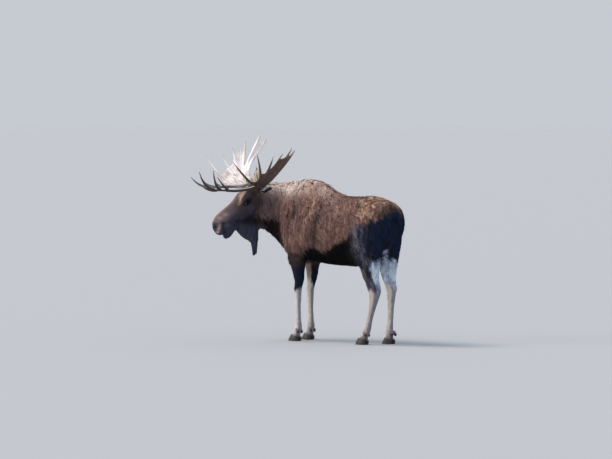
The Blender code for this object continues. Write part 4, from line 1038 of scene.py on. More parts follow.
    # side view of the head levelled: forward of the upper lip, and down, in metres
    fwd = 0.80 * (s - 0.70) + 0.594 * a
    down = 0.625 * (s - 0.70) - 0.781 * a
    ridge = np.interp(s, [row[0] for row in HEAD], [row[1] for row in HEAD]) - a
    cool = np.exp(-(((fwd + 0.195) / 0.070) ** 2) - (((down + 0.075) / 0.060) ** 2))
    h = mix(h, srgb(84, 80, 98), (cool * 0.75)[:, None])
    h = mix(h, srgb(62, 58, 72), smooth(-0.02, -0.12, a)[:, None] * smooth(0.66, 0.56, s)[:, None] * 0.80)
    h = mix(h, srgb(26, 24, 29), (smooth(-0.13, -0.20, a + 0.02 * wob) * smooth(0.62, 0.50, s) * 0.9)[:, None])
    h = mix(h, srgb(48, 40, 42), (smooth(0.24, 0.10, s) * 0.7)[:, None])
    on_nose = smooth(0.24, 0.34, s) * smooth(0.77, 0.70, s)
    flush = smooth(0.055, 0.030, ridge + 0.01 * wob) * on_nose
    h = mix(h, srgb(150, 124, 118), (flush * 0.6)[:, None])
    groove = np.exp(-(((ridge - 0.030) / 0.009) ** 2)) * on_nose
    h = mix(h, srgb(84, 68, 70), (groove * 0.55)[:, None])
    bright = np.exp(-(((fwd + 0.115) / 0.040) ** 2) - (((down + 0.108) / 0.026) ** 2)) + np.exp(-(((fwd + 0.045) / 0.034) ** 2) - (((down + 0.064) / 0.022) ** 2))
    h = mix(h, srgb(206, 178, 168), (np.clip(bright, 0, 1) * smooth(0.03, 0.05, np.abs(l)) * 0.60)[:, None])
    # painted highlight: a narrow bright line along the nose's ridge, where the light grazes it
    ridge_highlight = smooth(0.020, 0.008, ridge + 0.004 * wob) * on_nose * smooth(0.034, 0.004, np.abs(l + 0.008 * wob)) * smooth(0.26, 0.44, s)
    h = mix(h, srgb(214, 192, 180), (ridge_highlight * 0.80)[:, None])
    # tan band from the antler's foot down to the front of the eye
    band_s = np.interp(a, (-0.01, 0.03, 0.08, 0.13), (0.345, 0.325, 0.245, 0.180))
    brow = np.exp(-np.abs((s - band_s + 0.008 * noise(p, 26, 27)) / mix(0.022, 0.060, smooth(0.05, 0.09, a))) ** 2.2) * smooth(0.00, 0.03, a)
    flat_brow = smooth(0.095, 0.035, np.abs(l))
    h = mix(h, mix(srgb(250, 212, 186), srgb(184, 152, 132), flat_brow[:, None]), (np.clip(brow * 1.2 * (0.9 + 0.4 * noise(p, 34, 24)), 0, 1) * mix(0.9, 0.6, flat_brow))[:, None])
    spot = np.exp(-(((s - 0.335) / 0.030) ** 2) - (((a - 0.028) / 0.022) ** 2)) * smooth(0.03, 0.05, np.abs(l))
    h = mix(h, srgb(150, 118, 90), (spot * 0.8)[:, None])
    ring = np.exp(-((((s - EYE[0] + 0.022) / 0.062) ** 2) + (((a - EYE[1] - 0.002) / 0.036) ** 2)) ** 1.6)
    h = mix(h, BLACK, (np.clip(ring * 1.2, 0, 1) * smooth(0.04, 0.07, np.abs(l)) * 0.9)[:, None])
    # nose: dark round the nostril and the lips, with a pale front to the upper lip
    lips = smooth(-0.110, -0.135, a + 0.01 * wob) * smooth(0.40, 0.48, s)
    h = mix(h, srgb(34, 37, 48), (lips * 0.9)[:, None])
    # below a slanting line from the nostril the lip is dark
    line_a = 0.012 - 0.60 * (0.72 - s) + 0.006 * noise(p, 40, 25)
    middle = smooth(0.065, 0.030, np.abs(l))
    lower = smooth(line_a + 0.024 + 0.036 * middle, line_a - 0.016 - 0.004 * middle, a + 0.006 * wob) * smooth(0.52, 0.62, s)
    h = mix(h, srgb(66, 61, 70), (lower * 0.85)[:, None])
    crease = np.exp(-(((a - line_a + 0.006) / 0.011) ** 2)) * smooth(0.60, 0.65, s) * (1 - middle)
    h = mix(h, srgb(44, 40, 47), (crease * 0.65)[:, None])
    sheen = np.exp(-((((fwd + 0.1375) / 0.046) ** 2 + ((down - 0.0325) / 0.032) ** 2) ** 1.5)) * np.clip(0.75 + 0.8 * noise(p, 40, 18), 0, 1)
    h = mix(h, srgb(132, 138, 156), (sheen * 0.85)[:, None])
    # painted shade: a dark band in the fold behind the nostril and the upper lip
    fold = np.exp(-(((fwd + 0.078 - 0.10 * (down - 0.03)) / 0.024) ** 2) - (((down - 0.030) / 0.060) ** 4))
    h = mix(h, srgb(38, 38, 50), (fold * 0.78)[:, None])
    nostril = np.exp(-(((s - 0.740) / 0.024) ** 2) - (((a + 0.016) / 0.030) ** 2)) * smooth(0.01, 0.04, np.abs(l))
    h = mix(h, srgb(34, 32, 38), (np.clip(nostril * 1.3, 0, 1) * 0.9)[:, None])
    lean = down - 0.058
    front_lip = np.exp(-((lean / 0.052) ** 2) - (((fwd + 0.028 - 0.20 * lean) / 0.020) ** 2))
    h = mix(h, srgb(212, 182, 180), (front_lip * (0.78 + 0.30 * noise(p, 50, 26)))[:, None])
    chin_spot = np.exp(-(((fwd + 0.020) / 0.014) ** 2) - (((down - 0.108) / 0.011) ** 2))
    h = mix(h, srgb(236, 222, 224), (chin_spot * 0.8)[:, None])
    h = mix(h, srgb(67, 67, 84), (r["bell"])[:, None])
    c = mix(c, h, r["head"][:, None])
    return c * (1 + 0.10 * wob)[:, None]


# ---------------------------------------------------------------- skin
def refine(obj, centres, radius):
    """The faces within a radius of the centres split in four, with the new points eased into the curve."""
    bm = bmesh.new()
    bm.from_mesh(obj.data)
    co = np.array([v.co for v in bm.verts])
    near = np.zeros(len(co), bool)
    for c in centres:
        near |= np.linalg.norm(co - np.array(c), axis=1) < radius
    bm.verts.ensure_lookup_table()
    edges = [e for e in bm.edges if near[e.verts[0].index] and near[e.verts[1].index]]
    bmesh.ops.subdivide_edges(bm, edges=edges, cuts=1, use_grid_fill=True)
    inner = [v for v in bm.verts if any((v.co - Vector(c)).length < radius * 1.02 for c in centres)]
    for _ in range(3):
        bmesh.ops.smooth_vert(bm, verts=inner, factor=0.5, use_axis_x=True, use_axis_y=True, use_axis_z=True)
    bm.to_mesh(obj.data)
    bm.free()


def eye_frame(side):
    """The eye's middle, and its own axes: towards the nose, up the face, out of the head."""
    centre = np.array(face(EYE[0], EYE[1], side * EYE[2]))
    out = unit(np.array(LEFT) * side * 0.95 + A_NORMAL * 0.22 + A_AXIS * 0.20)
    fore = unit(A_AXIS * 0.97 - A_NORMAL * 0.22 - out * np.dot(A_AXIS * 0.97 - A_NORMAL * 0.22, out))
    up = np.cross(out, fore) * (1 if side > 0 else -1)
    if np.dot(up, A_NORMAL) < 0:
        up = -up
    return centre, fore, up, out


def almond(u, v):
    """Above 0 inside the opening between the lids; u towards the nose, v up."""
    bend = v + 0.0025 * (u / 0.018) + 0.0012
    half = np.where(bend > 0, 0.0108, 0.0088)
    return 1 - np.abs(u / 0.0185) ** 2.2 - np.abs(bend / half) ** 1.7


def head_details(co, normal):
    """Lids and folds round the eyes, nostrils, the line of the mouth, and the soft nose."""
    co = co.copy()
    for side in (1, -1):
        centre, fore, up, out = eye_frame(side)
        d = co - centre
        u, v, w = d @ fore, d @ up, d @ out
        rho = np.hypot(u, v * 1.1)
        near = (rho < 0.060) & (w > -0.03) & (w < 0.06)
        r2 = (EYE_RADIUS + 0.0030) ** 2 - u**2 - v**2
        dome = np.sqrt(np.maximum(r2, 0.006**2))
        # the skin eases up onto the ball
        k = smooth(0.036, 0.020, rho)
        level = mix(w, np.maximum(dome, w * 0 + 0.004), k)
        # fold over the upper lid, bag under the lower one
        level = level + 0.0035 * np.exp(-(((v - 0.0185) / 0.0050) ** 2) - (u / 0.024) ** 2)
        level = level - 0.0028 * np.exp(-(((v - 0.0125) / 0.0022) ** 2) - (u / 0.020) ** 4)
        level = level + 0.0018 * np.exp(-(((v + 0.0140) / 0.0030) ** 2) - (u / 0.018) ** 4)
        level = level - 0.0016 * np.exp(-(((v + 0.0185) / 0.0024) ** 2) - (u / 0.020) ** 4)
        # tear groove towards the nose
        level = level - 0.0030 * np.exp(-(((u - 0.029) / 0.010) ** 2) - (((v + 0.006) / 0.0035) ** 2))
        # brow
        level = level + 0.005 * np.exp(-(((v - 0.034) / 0.011) ** 2) - (u / 0.032) ** 2)
        f = almond(u, v)
        rim = np.exp(-(((f + 0.10) / 0.16) ** 2))
        level = level + 0.0016 * rim * (rho < 0.03)
        level = level - 0.0085 * smooth(-0.02, 0.16, f)
        w2 = np.where(near, level, w)
        co = co + out * (w2 - w)[:, None]
    s, a, l = head_coords(co)
    for side in (1, -1):
        on = (l * side > 0.012) & (s > 0.60) & (s < 0.80)
        # comma-shaped nostril: a slanting slit, wide at the front
        u = (s - 0.738) * 0.80 + (a + 0.022) * 0.60
        v = -(s - 0.738) * 0.60 + (a + 0.022) * 0.80
        v = v - 0.010 * (u / 0.026) ** 2
        half = np.where(u > 0, 0.0105, 0.0075)
        e = (u / 0.027) ** 2 + (v / half) ** 2
        depth = -0.020 * smooth(1.0, 0.25, e) + 0.0050 * np.exp(-(((np.sqrt(e) - 1.35) / 0.40) ** 2))
        co = co + normal * np.where(on, depth, 0)[:, None]
    s, a, l = head_coords(co)
    # the mouth: a crease between the upper lip and the jaw
    line = -0.164 + 0.030 * smooth(0.58, 0.44, s) - 0.008 * smooth(0.62, 0.70, s)
    crease = np.exp(-(((a - line) / 0.0046) ** 2)) * smooth(0.42, 0.47, s) * smooth(0.775, 0.74, s)
    co = co - normal * (0.0050 * crease)[:, None]
    lip = np.exp(-(((a - line - 0.016) / 0.010) ** 2)) * smooth(0.50, 0.58, s)
    co = co + normal * (0.0020 * lip)[:, None]
    # wrinkles across the soft nose and by the mouth's corner
    wrinkle = np.sin(s * 520 + 6 * noise(co, 30, 21)) * smooth(0.60, 0.66, s) * smooth(0.05, 0.02, np.abs(a - 0.02))
    co = co + normal * (0.0006 * wrinkle)[:, None]
    return co


def ear_mesh(side):
    base, tip, opening = EARS[side]
    way = AHEAD * opening[0] + LEFT * opening[1] + HEAD_UP * opening[2]
    leaf, along, across, open_way = ear_leaf(crown(*base), crown(*tip), way, EAR_WIDTH[side])
    divide = leaf.modifiers.new("sub", "SUBSURF")
    divide.levels = divide.render_levels = 1
    apply_modifiers(leaf)
    return leaf, along, across, open_way


body = fuse("skin", flesh_masses() + [tail_mass()], SKIN_VOXEL, int(10 * (0.014 / SKIN_VOXEL) ** 2))
face_line = [face(t, 0.02) for t in (0.05, 0.15, 0.25, 0.35, 0.45, 0.55, 0.65, 0.72)] + [face(t, -0.12) for t in (0.2, 0.3, 0.4, 0.5, 0.6, 0.7)]
refine(body, face_line, 0.150)
muzzle = [face(0.70, -0.06, 0.05), face(0.70, -0.06, -0.05), face(0.66, -0.16, 0.03), face(0.66, -0.16, -0.03), face(0.55, -0.14, 0.05), face(0.55, -0.14, -0.05), face(0.75, -0.10, 0)]
eyes = [Vector(eye_frame(s)[0] + eye_frame(s)[3] * 0.02) for s in (1, -1)]
refine(body, muzzle, 0.055)
refine(body, eyes, 0.062)
refine(body, eyes, 0.040)
mesh = body.data
co = points_of(mesh)
normal = vertex_normals(mesh)
depth = coat_depth(co, normal)
s, a, l = head_coords(co)
co = co - normal * depth[:, None]
set_points(mesh, co)
normal = vertex_normals(mesh)
co = head_details(co, normal)
set_points(mesh, co)
body.name = "skin_work"


# ---------------------------------------------------------------- coat
def new_mesh(name, verts, tris, normals=None, uv=None, colour=None):
    mesh = bpy.data.meshes.new(name)
    mesh.vertices.add(len(verts))
    mesh.vertices.foreach_set("co", np.ascontiguousarray(verts, np.float32).ravel())
    mesh.loops.add(len(tris) * 3)
    mesh.loops.foreach_set("vertex_index", np.ascontiguousarray(tris, np.int32).ravel())
    mesh.polygons.add(len(tris))
    mesh.polygons.foreach_set("loop_start", np.arange(0, 3 * len(tris), 3, dtype=np.int32))
    mesh.polygons.foreach_set("use_smooth", np.ones(len(tris), bool))
    mesh.update(calc_edges=True)
    if uv is not None:
        layer = mesh.uv_layers.new(name="OFBake")
        layer.uv.foreach_set("vector", np.ascontiguousarray(uv[tris.ravel()], np.float32).ravel())
    if colour is not None:
        paint(mesh, colour)
    if normals is not None:
        mesh.normals_split_custom_set_from_vertices(np.ascontiguousarray(normals, np.float32))
    obj = bpy.data.objects.new(name, mesh)
    bpy.context.scene.collection.objects.link(obj)
    return obj


def triangles_of(mesh):
    mesh.calc_loop_triangles()
    t = np.zeros(len(mesh.loop_triangles) * 3, np.int32)
    mesh.loop_triangles.foreach_get("vertices", t)
    owner = np.zeros(len(mesh.loop_triangles), np.int32)
    mesh.loop_triangles.foreach_get("polygon_index", owner)
    return t.reshape(-1, 3), owner


def scatter(co, nrm, tris, uvs, density):
    """Roots spread over the triangles: points, normals and the place on the unwrap. density is roots per square metre at each triangle."""
    a, b, c = co[tris[:, 0]], co[tris[:, 1]], co[tris[:, 2]]
    area = 0.5 * np.linalg.norm(np.cross(b - a, c - a), axis=1)
    expect = area * density
    count = np.floor(expect + rng.random(len(expect))).astype(int)
    which = np.repeat(np.arange(len(tris)), count)
    r1, r2 = np.sqrt(rng.random(len(which))), rng.random(len(which))
    wa, wb, wc = 1 - r1, r1 * (1 - r2), r1 * r2
    pick = lambda values: values[which, 0] * wa[:, None] + values[which, 1] * wb[:, None] + values[which, 2] * wc[:, None]
    p = pick(co[tris])
    n = unit(pick(nrm[tris]))
    uv = pick(uvs)
    return p, n, uv


def locks(name, p, n, uv, length, width, lift, flow, tree, rings, colour, rough=0.0, soft=0.50, curl=0.0, droop=0.0, clump=None, pull=0.0, tones=0.0, root=0.72):
    """Tapered locks as one mesh. Each is a bent three-sided blade that follows the skin and lifts towards its tip."""
    count = len(p)
    if not count:
        return None
    side = np.cross(n, flow)
    jitter = rng.normal(0, 1, (count, 2))
    way = unit(flow + side * (jitter[:, 0] * (0.16 + rough))[:, None] + n * 0.0)
    side = unit(np.cross(n, way))
    length = length * (0.72 + 0.5 * rng.random(count))
    width = width * (0.80 + 0.4 * rng.random(count))
    lift = lift * (0.72 + 0.33 * rng.random(count))
    phase = rng.random(count) * 2 * math.pi
    own = np.ones(count)
    if clump:
        # locks draw together at their tips, each towards the middle lock of its tuft
        seeds = np.flatnonzero(rng.random(count) < clump)
        kd = KDTree(len(seeds))
        for k, i in enumerate(seeds):
            kd.insert(p[i], k)
        kd.balance()
        owner = np.array([kd.find(q)[1] for q in p])
        lead = seeds[owner]
        target = p[lead] + way[lead] * (length * 0.95)[:, None]
        drawn = unit(target - p)
        drawn = unit(drawn - n * np.sum(drawn * n, 1, keepdims=True))
        way = unit(mix(way, drawn, pull))
        side = unit(np.cross(n, way))
        tuft = rng.random(len(seeds))[owner]
        lift = lift * (0.74 + 0.34 * tuft)
        own = 1 + tones * (rng.random(len(seeds))[owner] * 2 - 1)
    steps = np.linspace(0, 1, rings + 1)
    centre, up_at = [p - n * 0.0015], [n]
    here = p
    up = n
    for k in range(1, rings + 1):
        ahead = here + way * (length / rings)[:, None]
        if droop:
            ahead = ahead + np.array([0, 0, -1.0]) * (droop * length * steps[k] / rings)[:, None]
        found, norms = np.empty_like(ahead), np.empty_like(ahead)
        for i, q in enumerate(ahead):
            loc, nor, _, _ = tree.find_nearest(q)
            found[i] = loc
            norms[i] = nor
        gap = np.linalg.norm(found - ahead, axis=1)
        hold = smooth(0.9, 0.4, gap / np.maximum(length / rings, 1e-6))[:, None]
        new_up = unit(mix(up, norms, hold * 0.8))
        found = mix(ahead, found, hold)
        way = unit(way - new_up * np.sum(way * new_up, 1, keepdims=True) * hold)
        here = found
        up = new_up
        t = steps[k]
        height = lift * (1 - (1 - t) ** 1.8)
        wave = curl * length * np.sin(phase + t * 4.2)
        centre.append(here + up * height[:, None] + side * (wave * t)[:, None])
        up_at.append(up)
    shape = np.interp(steps, (0.0, 0.30, 0.65, 1.0), (0.62, 1.0, 0.72, 0.0))
    verts, normals, tone, uvs = [], [], [], []
    for k in range(rings):
        half = (width * shape[k] * 0.5)[:, None]
        thick = half * 0.55
        c, u = centre[k], up_at[k]
        for off, lean in ((-1, -0.45), (0, 0.0), (1, 0.45)):
            verts.append(c + side * half * off + u * thick * (1.0 if off == 0 else -0.4))
            normals.append(unit(u * soft + (1 - soft) * unit(side * off + u * (0.9 if off == 0 else 0.15))))
            tone.append(np.full(count, steps[k]))
            uvs.append(uv + np.array([off * 0.0011, (steps[k] - 0.5) * 0.0026]))
    verts.append(centre[-1])
    normals.append(up_at[-1])
    tone.append(np.full(count, 1.0))
    uvs.append(uv + np.array([0.0, 0.0013]))
    per = 3 * rings + 1
    verts = np.stack(verts, 1).reshape(-1, 3)
    normals = np.stack(normals, 1).reshape(-1, 3)
    tone = np.stack(tone, 1).reshape(-1)
    uvs = np.clip(np.stack(uvs, 1).reshape(-1, 2), 0.0002, 0.9998)
    cell = []
    for k in range(rings - 1):
        lo, hi = 3 * k, 3 * (k + 1)
        for i, j in ((0, 1), (1, 2), (2, 0)):
            cell += [(lo + i, lo + j, hi + j), (lo + i, hi + j, hi + i)]
    top = 3 * (rings - 1)
    cell += [(top, top + 1, per - 1), (top + 1, top + 2, per - 1), (top + 2, top, per - 1)]
    cell += [(0, 2, 1)]
    cell = np.array(cell, np.int32)[:, ::-1]
    tris = (cell[None] + (np.arange(count) * per)[:, None, None]).reshape(-1, 3).astype(np.int32)
    shade = (own * (0.82 + 0.36 * rng.random(count)))[:, None, None] * np.ones((1, per, 1))
    tint = colour[:, None, :] * shade
    # painted shade: each lock is painted darker towards its root, where the coat shades it; root sets how dark
    tone3 = tone.reshape(count, per, 1)
    tint = tint * (root + (1.10 - root) * tone3)
    colour = np.clip(tint.reshape(-1, 3), 0.003, 1)
    return new_mesh(name, verts, tris, normals, uvs, colour)


def unwrap(faces_of_mesh, keep):
    """UVs of an unwrap of the kept faces of the skin, one pair for each corner of each triangle."""
    tris = faces_of_mesh[keep]
    used, back = np.unique(tris, return_inverse=True)
    part = bpy.data.meshes.new("unwrap")
    part.from_pydata(SKIN_CO[used].tolist(), [], back.reshape(-1, 3).tolist())
    obj = bpy.data.objects.new("unwrap", part)
    bpy.context.scene.collection.objects.link(obj)
    for other in bpy.context.selected_objects:
        other.select_set(False)
    bpy.context.view_layer.objects.active = obj
    obj.select_set(True)
    bpy.ops.object.mode_set(mode="EDIT")
    bpy.ops.mesh.select_all(action="SELECT")
    bpy.ops.uv.smart_project(angle_limit=math.radians(72), island_margin=0.002)
    bpy.ops.object.mode_set(mode="OBJECT")
    uv = np.zeros(len(part.loops) * 2, np.float32)
    part.uv_layers.active.uv.foreach_get("vector", uv)
    uv = uv.reshape(-1, 3, 2).astype(float)
    bpy.data.objects.remove(obj)
    bpy.data.meshes.remove(part)
    low, high = uv.reshape(-1, 2).min(0), uv.reshape(-1, 2).max(0)
    return 0.004 + 0.992 * (uv - low) / (high - low)


# ears join the skin as leaves of their own, rooted inside the head
ears = []
for side_name, sign in (("left", 1), ("right", -1)):
    leaf, along, across, open_way = ear_mesh(side_name)
    pts = points_of(leaf.data)
    nrm = vertex_normals(leaf.data)
    set_points(leaf.data, pts - nrm * 0.0025)
    ears.append((side_name, leaf, np.array(along), np.array(across), np.array(open_way), np.array(crown(*EARS[side_name][0]))))

SKIN_CO = points_of(body.data)
SKIN_N = vertex_normals(body.data)
TRIS, _ = triangles_of(body.data)
MID = SKIN_CO[TRIS].mean(1)
MIDN = unit(SKIN_N[TRIS].mean(1))
tree = BVHTree.FromPolygons(SKIN_CO.tolist(), TRIS.tolist())
shift = Vector((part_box("eye_left")[0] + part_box("eye_left")[1]) / 2) - face(EYE[0], EYE[1], EYE[2])

R = regions(MID, MIDN)
S, A, L = head_coords(MID)
CA, CL, CU = crown_coords(MID)
# no hair: inside the nostrils and the opening for the eye, under the feet, on the antler's foot
bald = np.zeros(len(MID), bool)
for sign in (1, -1):
    centre, fore, up, out = eye_frame(sign)
    d = MID - centre
    bald |= (almond(d @ fore, d @ up) > -0.55) & (d @ out > 0) & (np.linalg.norm(d, axis=1) < 0.05)
    u = (S - 0.738) * 0.80 + (A + 0.022) * 0.60
    v = -(S - 0.738) * 0.60 + (A + 0.022) * 0.80
    bald |= (L * sign > 0.012) & ((u / 0.030) ** 2 + (v / 0.013) ** 2 < 1.1) & (S > 0.60)
    stub = np.array(frame_point(BEAM[0], sign))
    bald |= np.linalg.norm(MID - stub, axis=1) < 0.045
bald |= MID[:, 2] < CORONET_FRONT * 0.80

is_head = R["head"] > 0.5
is_bell = is_head & (CU < -0.45)
is_head &= ~is_bell
is_leg = (MID[:, 2] < 0.98) & ~is_head & ~is_bell & ((np.abs(MIDN[:, 2]) < 0.75) | (MID[:, 2] < 0.85))
ahead_mid = -MID[:, 1]
is_neck = (R["neck"] > 0.5) & ~is_leg & ~is_head & ~is_bell
rest = ~(is_head | is_bell | is_leg | is_neck)
GROUPS = {
    "coat_head": is_head,
    "coat_bell": is_bell,
    "coat_neck": is_neck,
    "coat_shoulder_left": rest & (ahead_mid > 0.22) & (MID[:, 0] > 0),
    "coat_shoulder_right": rest & (ahead_mid > 0.22) & (MID[:, 0] <= 0),
    "coat_side_left": rest & (ahead_mid <= 0.22) & (ahead_mid > -0.38) & (MID[:, 0] > 0),
    "coat_side_right": rest & (ahead_mid <= 0.22) & (ahead_mid > -0.38) & (MID[:, 0] <= 0),
    "coat_haunch_left": rest & (ahead_mid <= -0.38) & (MID[:, 0] > 0),
    "coat_haunch_right": rest & (ahead_mid <= -0.38) & (MID[:, 0] <= 0),
    "coat_forelegs": is_leg & (ahead_mid > -0.05),
    "coat_hindlegs": is_leg & (ahead_mid <= -0.05),
}
# roots per square metre
DENSITY = 10500 * np.ones(len(MID))
DENSITY = np.where(R["haunch"] > 0.5, 13500, DENSITY)
DENSITY = np.where(is_leg, mix(27000, 15000, smooth(0.55, 0.95, MID[:, 2])), DENSITY)
DENSITY = np.where(is_head, mix(26000, 42000, smooth(0.1, 0.45, S)), DENSITY)
DENSITY = np.where(is_bell, 16000, DENSITY)
DENSITY = np.where(bald, 0, DENSITY)

# share of locks that lead a tuft, how far the others draw to them, and how much tufts differ in tone
TUFTS = {
    "coat_head": (0.06, 0.35, 0.08),
    "coat_neck": (0.08, 0.34, 0.13),
    "coat_shoulder": (0.10, 0.42, 0.20),
    "coat_side": (0.10, 0.42, 0.18),
    "coat_haunch": (0.12, 0.60, 0.28),
    "coat_bell": (0.08, 0.50, 0.15),
    "coat_forelegs": (0.07, 0.40, 0.12),
    "coat_hindlegs": (0.07, 0.40, 0.12),
}
coats = []
total = 0
for name, keep in GROUPS.items():
    uvs = unwrap(TRIS, keep)
    p, n, uv = scatter(SKIN_CO, SKIN_N, TRIS[keep], uvs, DENSITY[keep])
    length, width = coat_length(p, n)
    lift = coat_depth(p, n) * 1.05
    flow = coat_flow(p, n)
    colour = markings(p, n)
    rr = regions(p, n)
    rings = 2 if name in ("coat_head", "coat_forelegs", "coat_hindlegs") else 3
    curl = 0.05 if "haunch" in name else 0.02
    clump, pull, tones = TUFTS.get(name.replace("_left", "").replace("_right", ""), (0.10, 0.5, 0.15))
    # root: how dark each lock is painted at its root, as painted shade
    obj = locks(name, p, n, uv, length, width, lift, flow, tree, rings, colour, rough=0.12 if "haunch" in name else 0.03, curl=curl, droop=0.15 if name == "coat_bell" else 0.0, clump=clump, pull=pull, tones=tones, root=0.90 if "legs" in name or "head" in name else (0.82 if "neck" in name else 0.76))
    count = len(obj.data.polygons)
    total += count
    print(name, len(p), count)
    assert count < 199000, f"{name} has {count} triangles"
    coats.append(obj)
print("coat triangles", total)

# ear hair: short on the back, long and pale from inside the open edge
for side_name, leaf, along, across, open_way, root in ears:
    pts, nrm = points_of(leaf.data), vertex_normals(leaf.data)
    tri, _ = triangles_of(leaf.data)
    keep = np.ones(len(tri), bool)
    SKIN_CO_KEEP = SKIN_CO
    SKIN_CO = pts
    uvs = unwrap(tri, keep)
    SKIN_CO = SKIN_CO_KEEP
    p, n, uv = scatter(pts, nrm, tri, uvs, np.full(len(tri), 60000.0))
    d = p - root
    t = d @ along / (np.linalg.norm(np.array(crown(*EARS[side_name][1])) - root))
    x = d @ across / EAR_WIDTH[side_name]
    inside = smooth(0.1, 0.6, n @ open_way)
    edge = smooth(0.45, 0.9, np.abs(x))
    flow = unit(along * 1.0 - across * (0.35 * np.sign(x) * inside)[:, None])
    flow = unit(flow - n * np.sum(flow * n, 1, keepdims=True))
    length = 0.016 + 0.022 * inside + 0.010 * edge
    # painted light: the right ear's back is painted near white, for the light that shines through the ear from behind
    back_tone = srgb(44, 38, 42) if side_name == "left" else srgb(255, 224, 188)
    colour = mix(np.tile(back_tone, (len(p), 1)), srgb(178, 156, 134) if side_name == "right" else srgb(74, 66, 72), (np.clip(inside * 0.9 + edge * (0.35 if side_name == "right" else 0.05), 0, 1))[:, None])
    if side_name == "left":
        colour = mix(colour, srgb(214, 224, 244), ((smooth(0.36, 0.18, t) * (rng.random(len(p)) > 0.45))[:, None]) * 0.9)
    if side_name == "right":
        colour = mix(colour, srgb(60, 44, 40), ((1 - inside) * np.exp(-(((x - 0.30) / 0.17) ** 2)) * smooth(0.74, 0.60, t) * 0.85)[:, None])
    colour = mix(colour, srgb(60, 48, 42), (inside * np.exp(-((x / 0.30) ** 2)) * smooth(0.75, 0.35, t) * 0.8)[:, None])
    ear_tree = BVHTree.FromPolygons(pts.tolist(), tri.tolist())
    obj = locks("coat_ear_" + side_name, p, n, uv, length, np.full(len(p), 0.0040), 0.003 + 0.006 * inside, flow, ear_tree, 2, colour, root=0.72 if side_name == "left" else 0.95)
    coats.append(obj)
    total += len(obj.data.polygons)
    # painted light: the right ear's skin is painted pale for the same light
    paint_ear = mix(np.tile(DARKBROWN if side_name == "left" else srgb(206, 172, 142), (len(pts), 1)), srgb(150, 122, 100) if side_name == "right" else srgb(70, 60, 64), smooth(0.1, 0.6, nrm @ open_way)[:, None])
    paint(leaf.data, paint_ear * 0.8)

# the skin takes the same markings, a little darker, as the undercoat
under = markings(SKIN_CO, SKIN_N)
rs = regions(SKIN_CO, SKIN_N)
under = under * mix(0.68, 0.95, np.clip(rs["head"] + rs["shank"], 0, 1))[:, None]
hs, ha, hl = head_coords(SKIN_CO)
for sign in (1, -1):
    centre, fore, up, out = eye_frame(sign)
    d = SKIN_CO - centre
    f = almond(d @ fore, d @ up)
    rim = (smooth(-0.75, -0.20, f) * (np.linalg.norm(d, axis=1) < 0.045))[:, None]
    under = mix(under, srgb(24, 20, 19), rim)
    u = (hs - 0.738) * 0.80 + (ha + 0.022) * 0.60
    v = -(hs - 0.738) * 0.60 + (ha + 0.022) * 0.80
    pit = smooth(1.4, 0.6, (u / 0.027) ** 2 + (v / 0.010) ** 2) * (hl * sign > 0.012) * (hs > 0.6)
    under = mix(under, srgb(20, 17, 18), pit[:, None])
paint(body.data, under)

for polygon in body.data.polygons:
    polygon.use_smooth = True
bm = bmesh.new()
bm.from_mesh(body.data)
for _, leaf, *_ in ears:
    for polygon in leaf.data.polygons:
        polygon.use_smooth = True
    bm.from_mesh(leaf.data)
    bpy.data.objects.remove(leaf)
skin_mesh = bpy.data.meshes.new("skin")
bm.to_mesh(skin_mesh)
bm.free()
skin = bpy.data.objects.new("skin", skin_mesh)
bpy.context.scene.collection.objects.link(skin)
bpy.data.objects.remove(body)


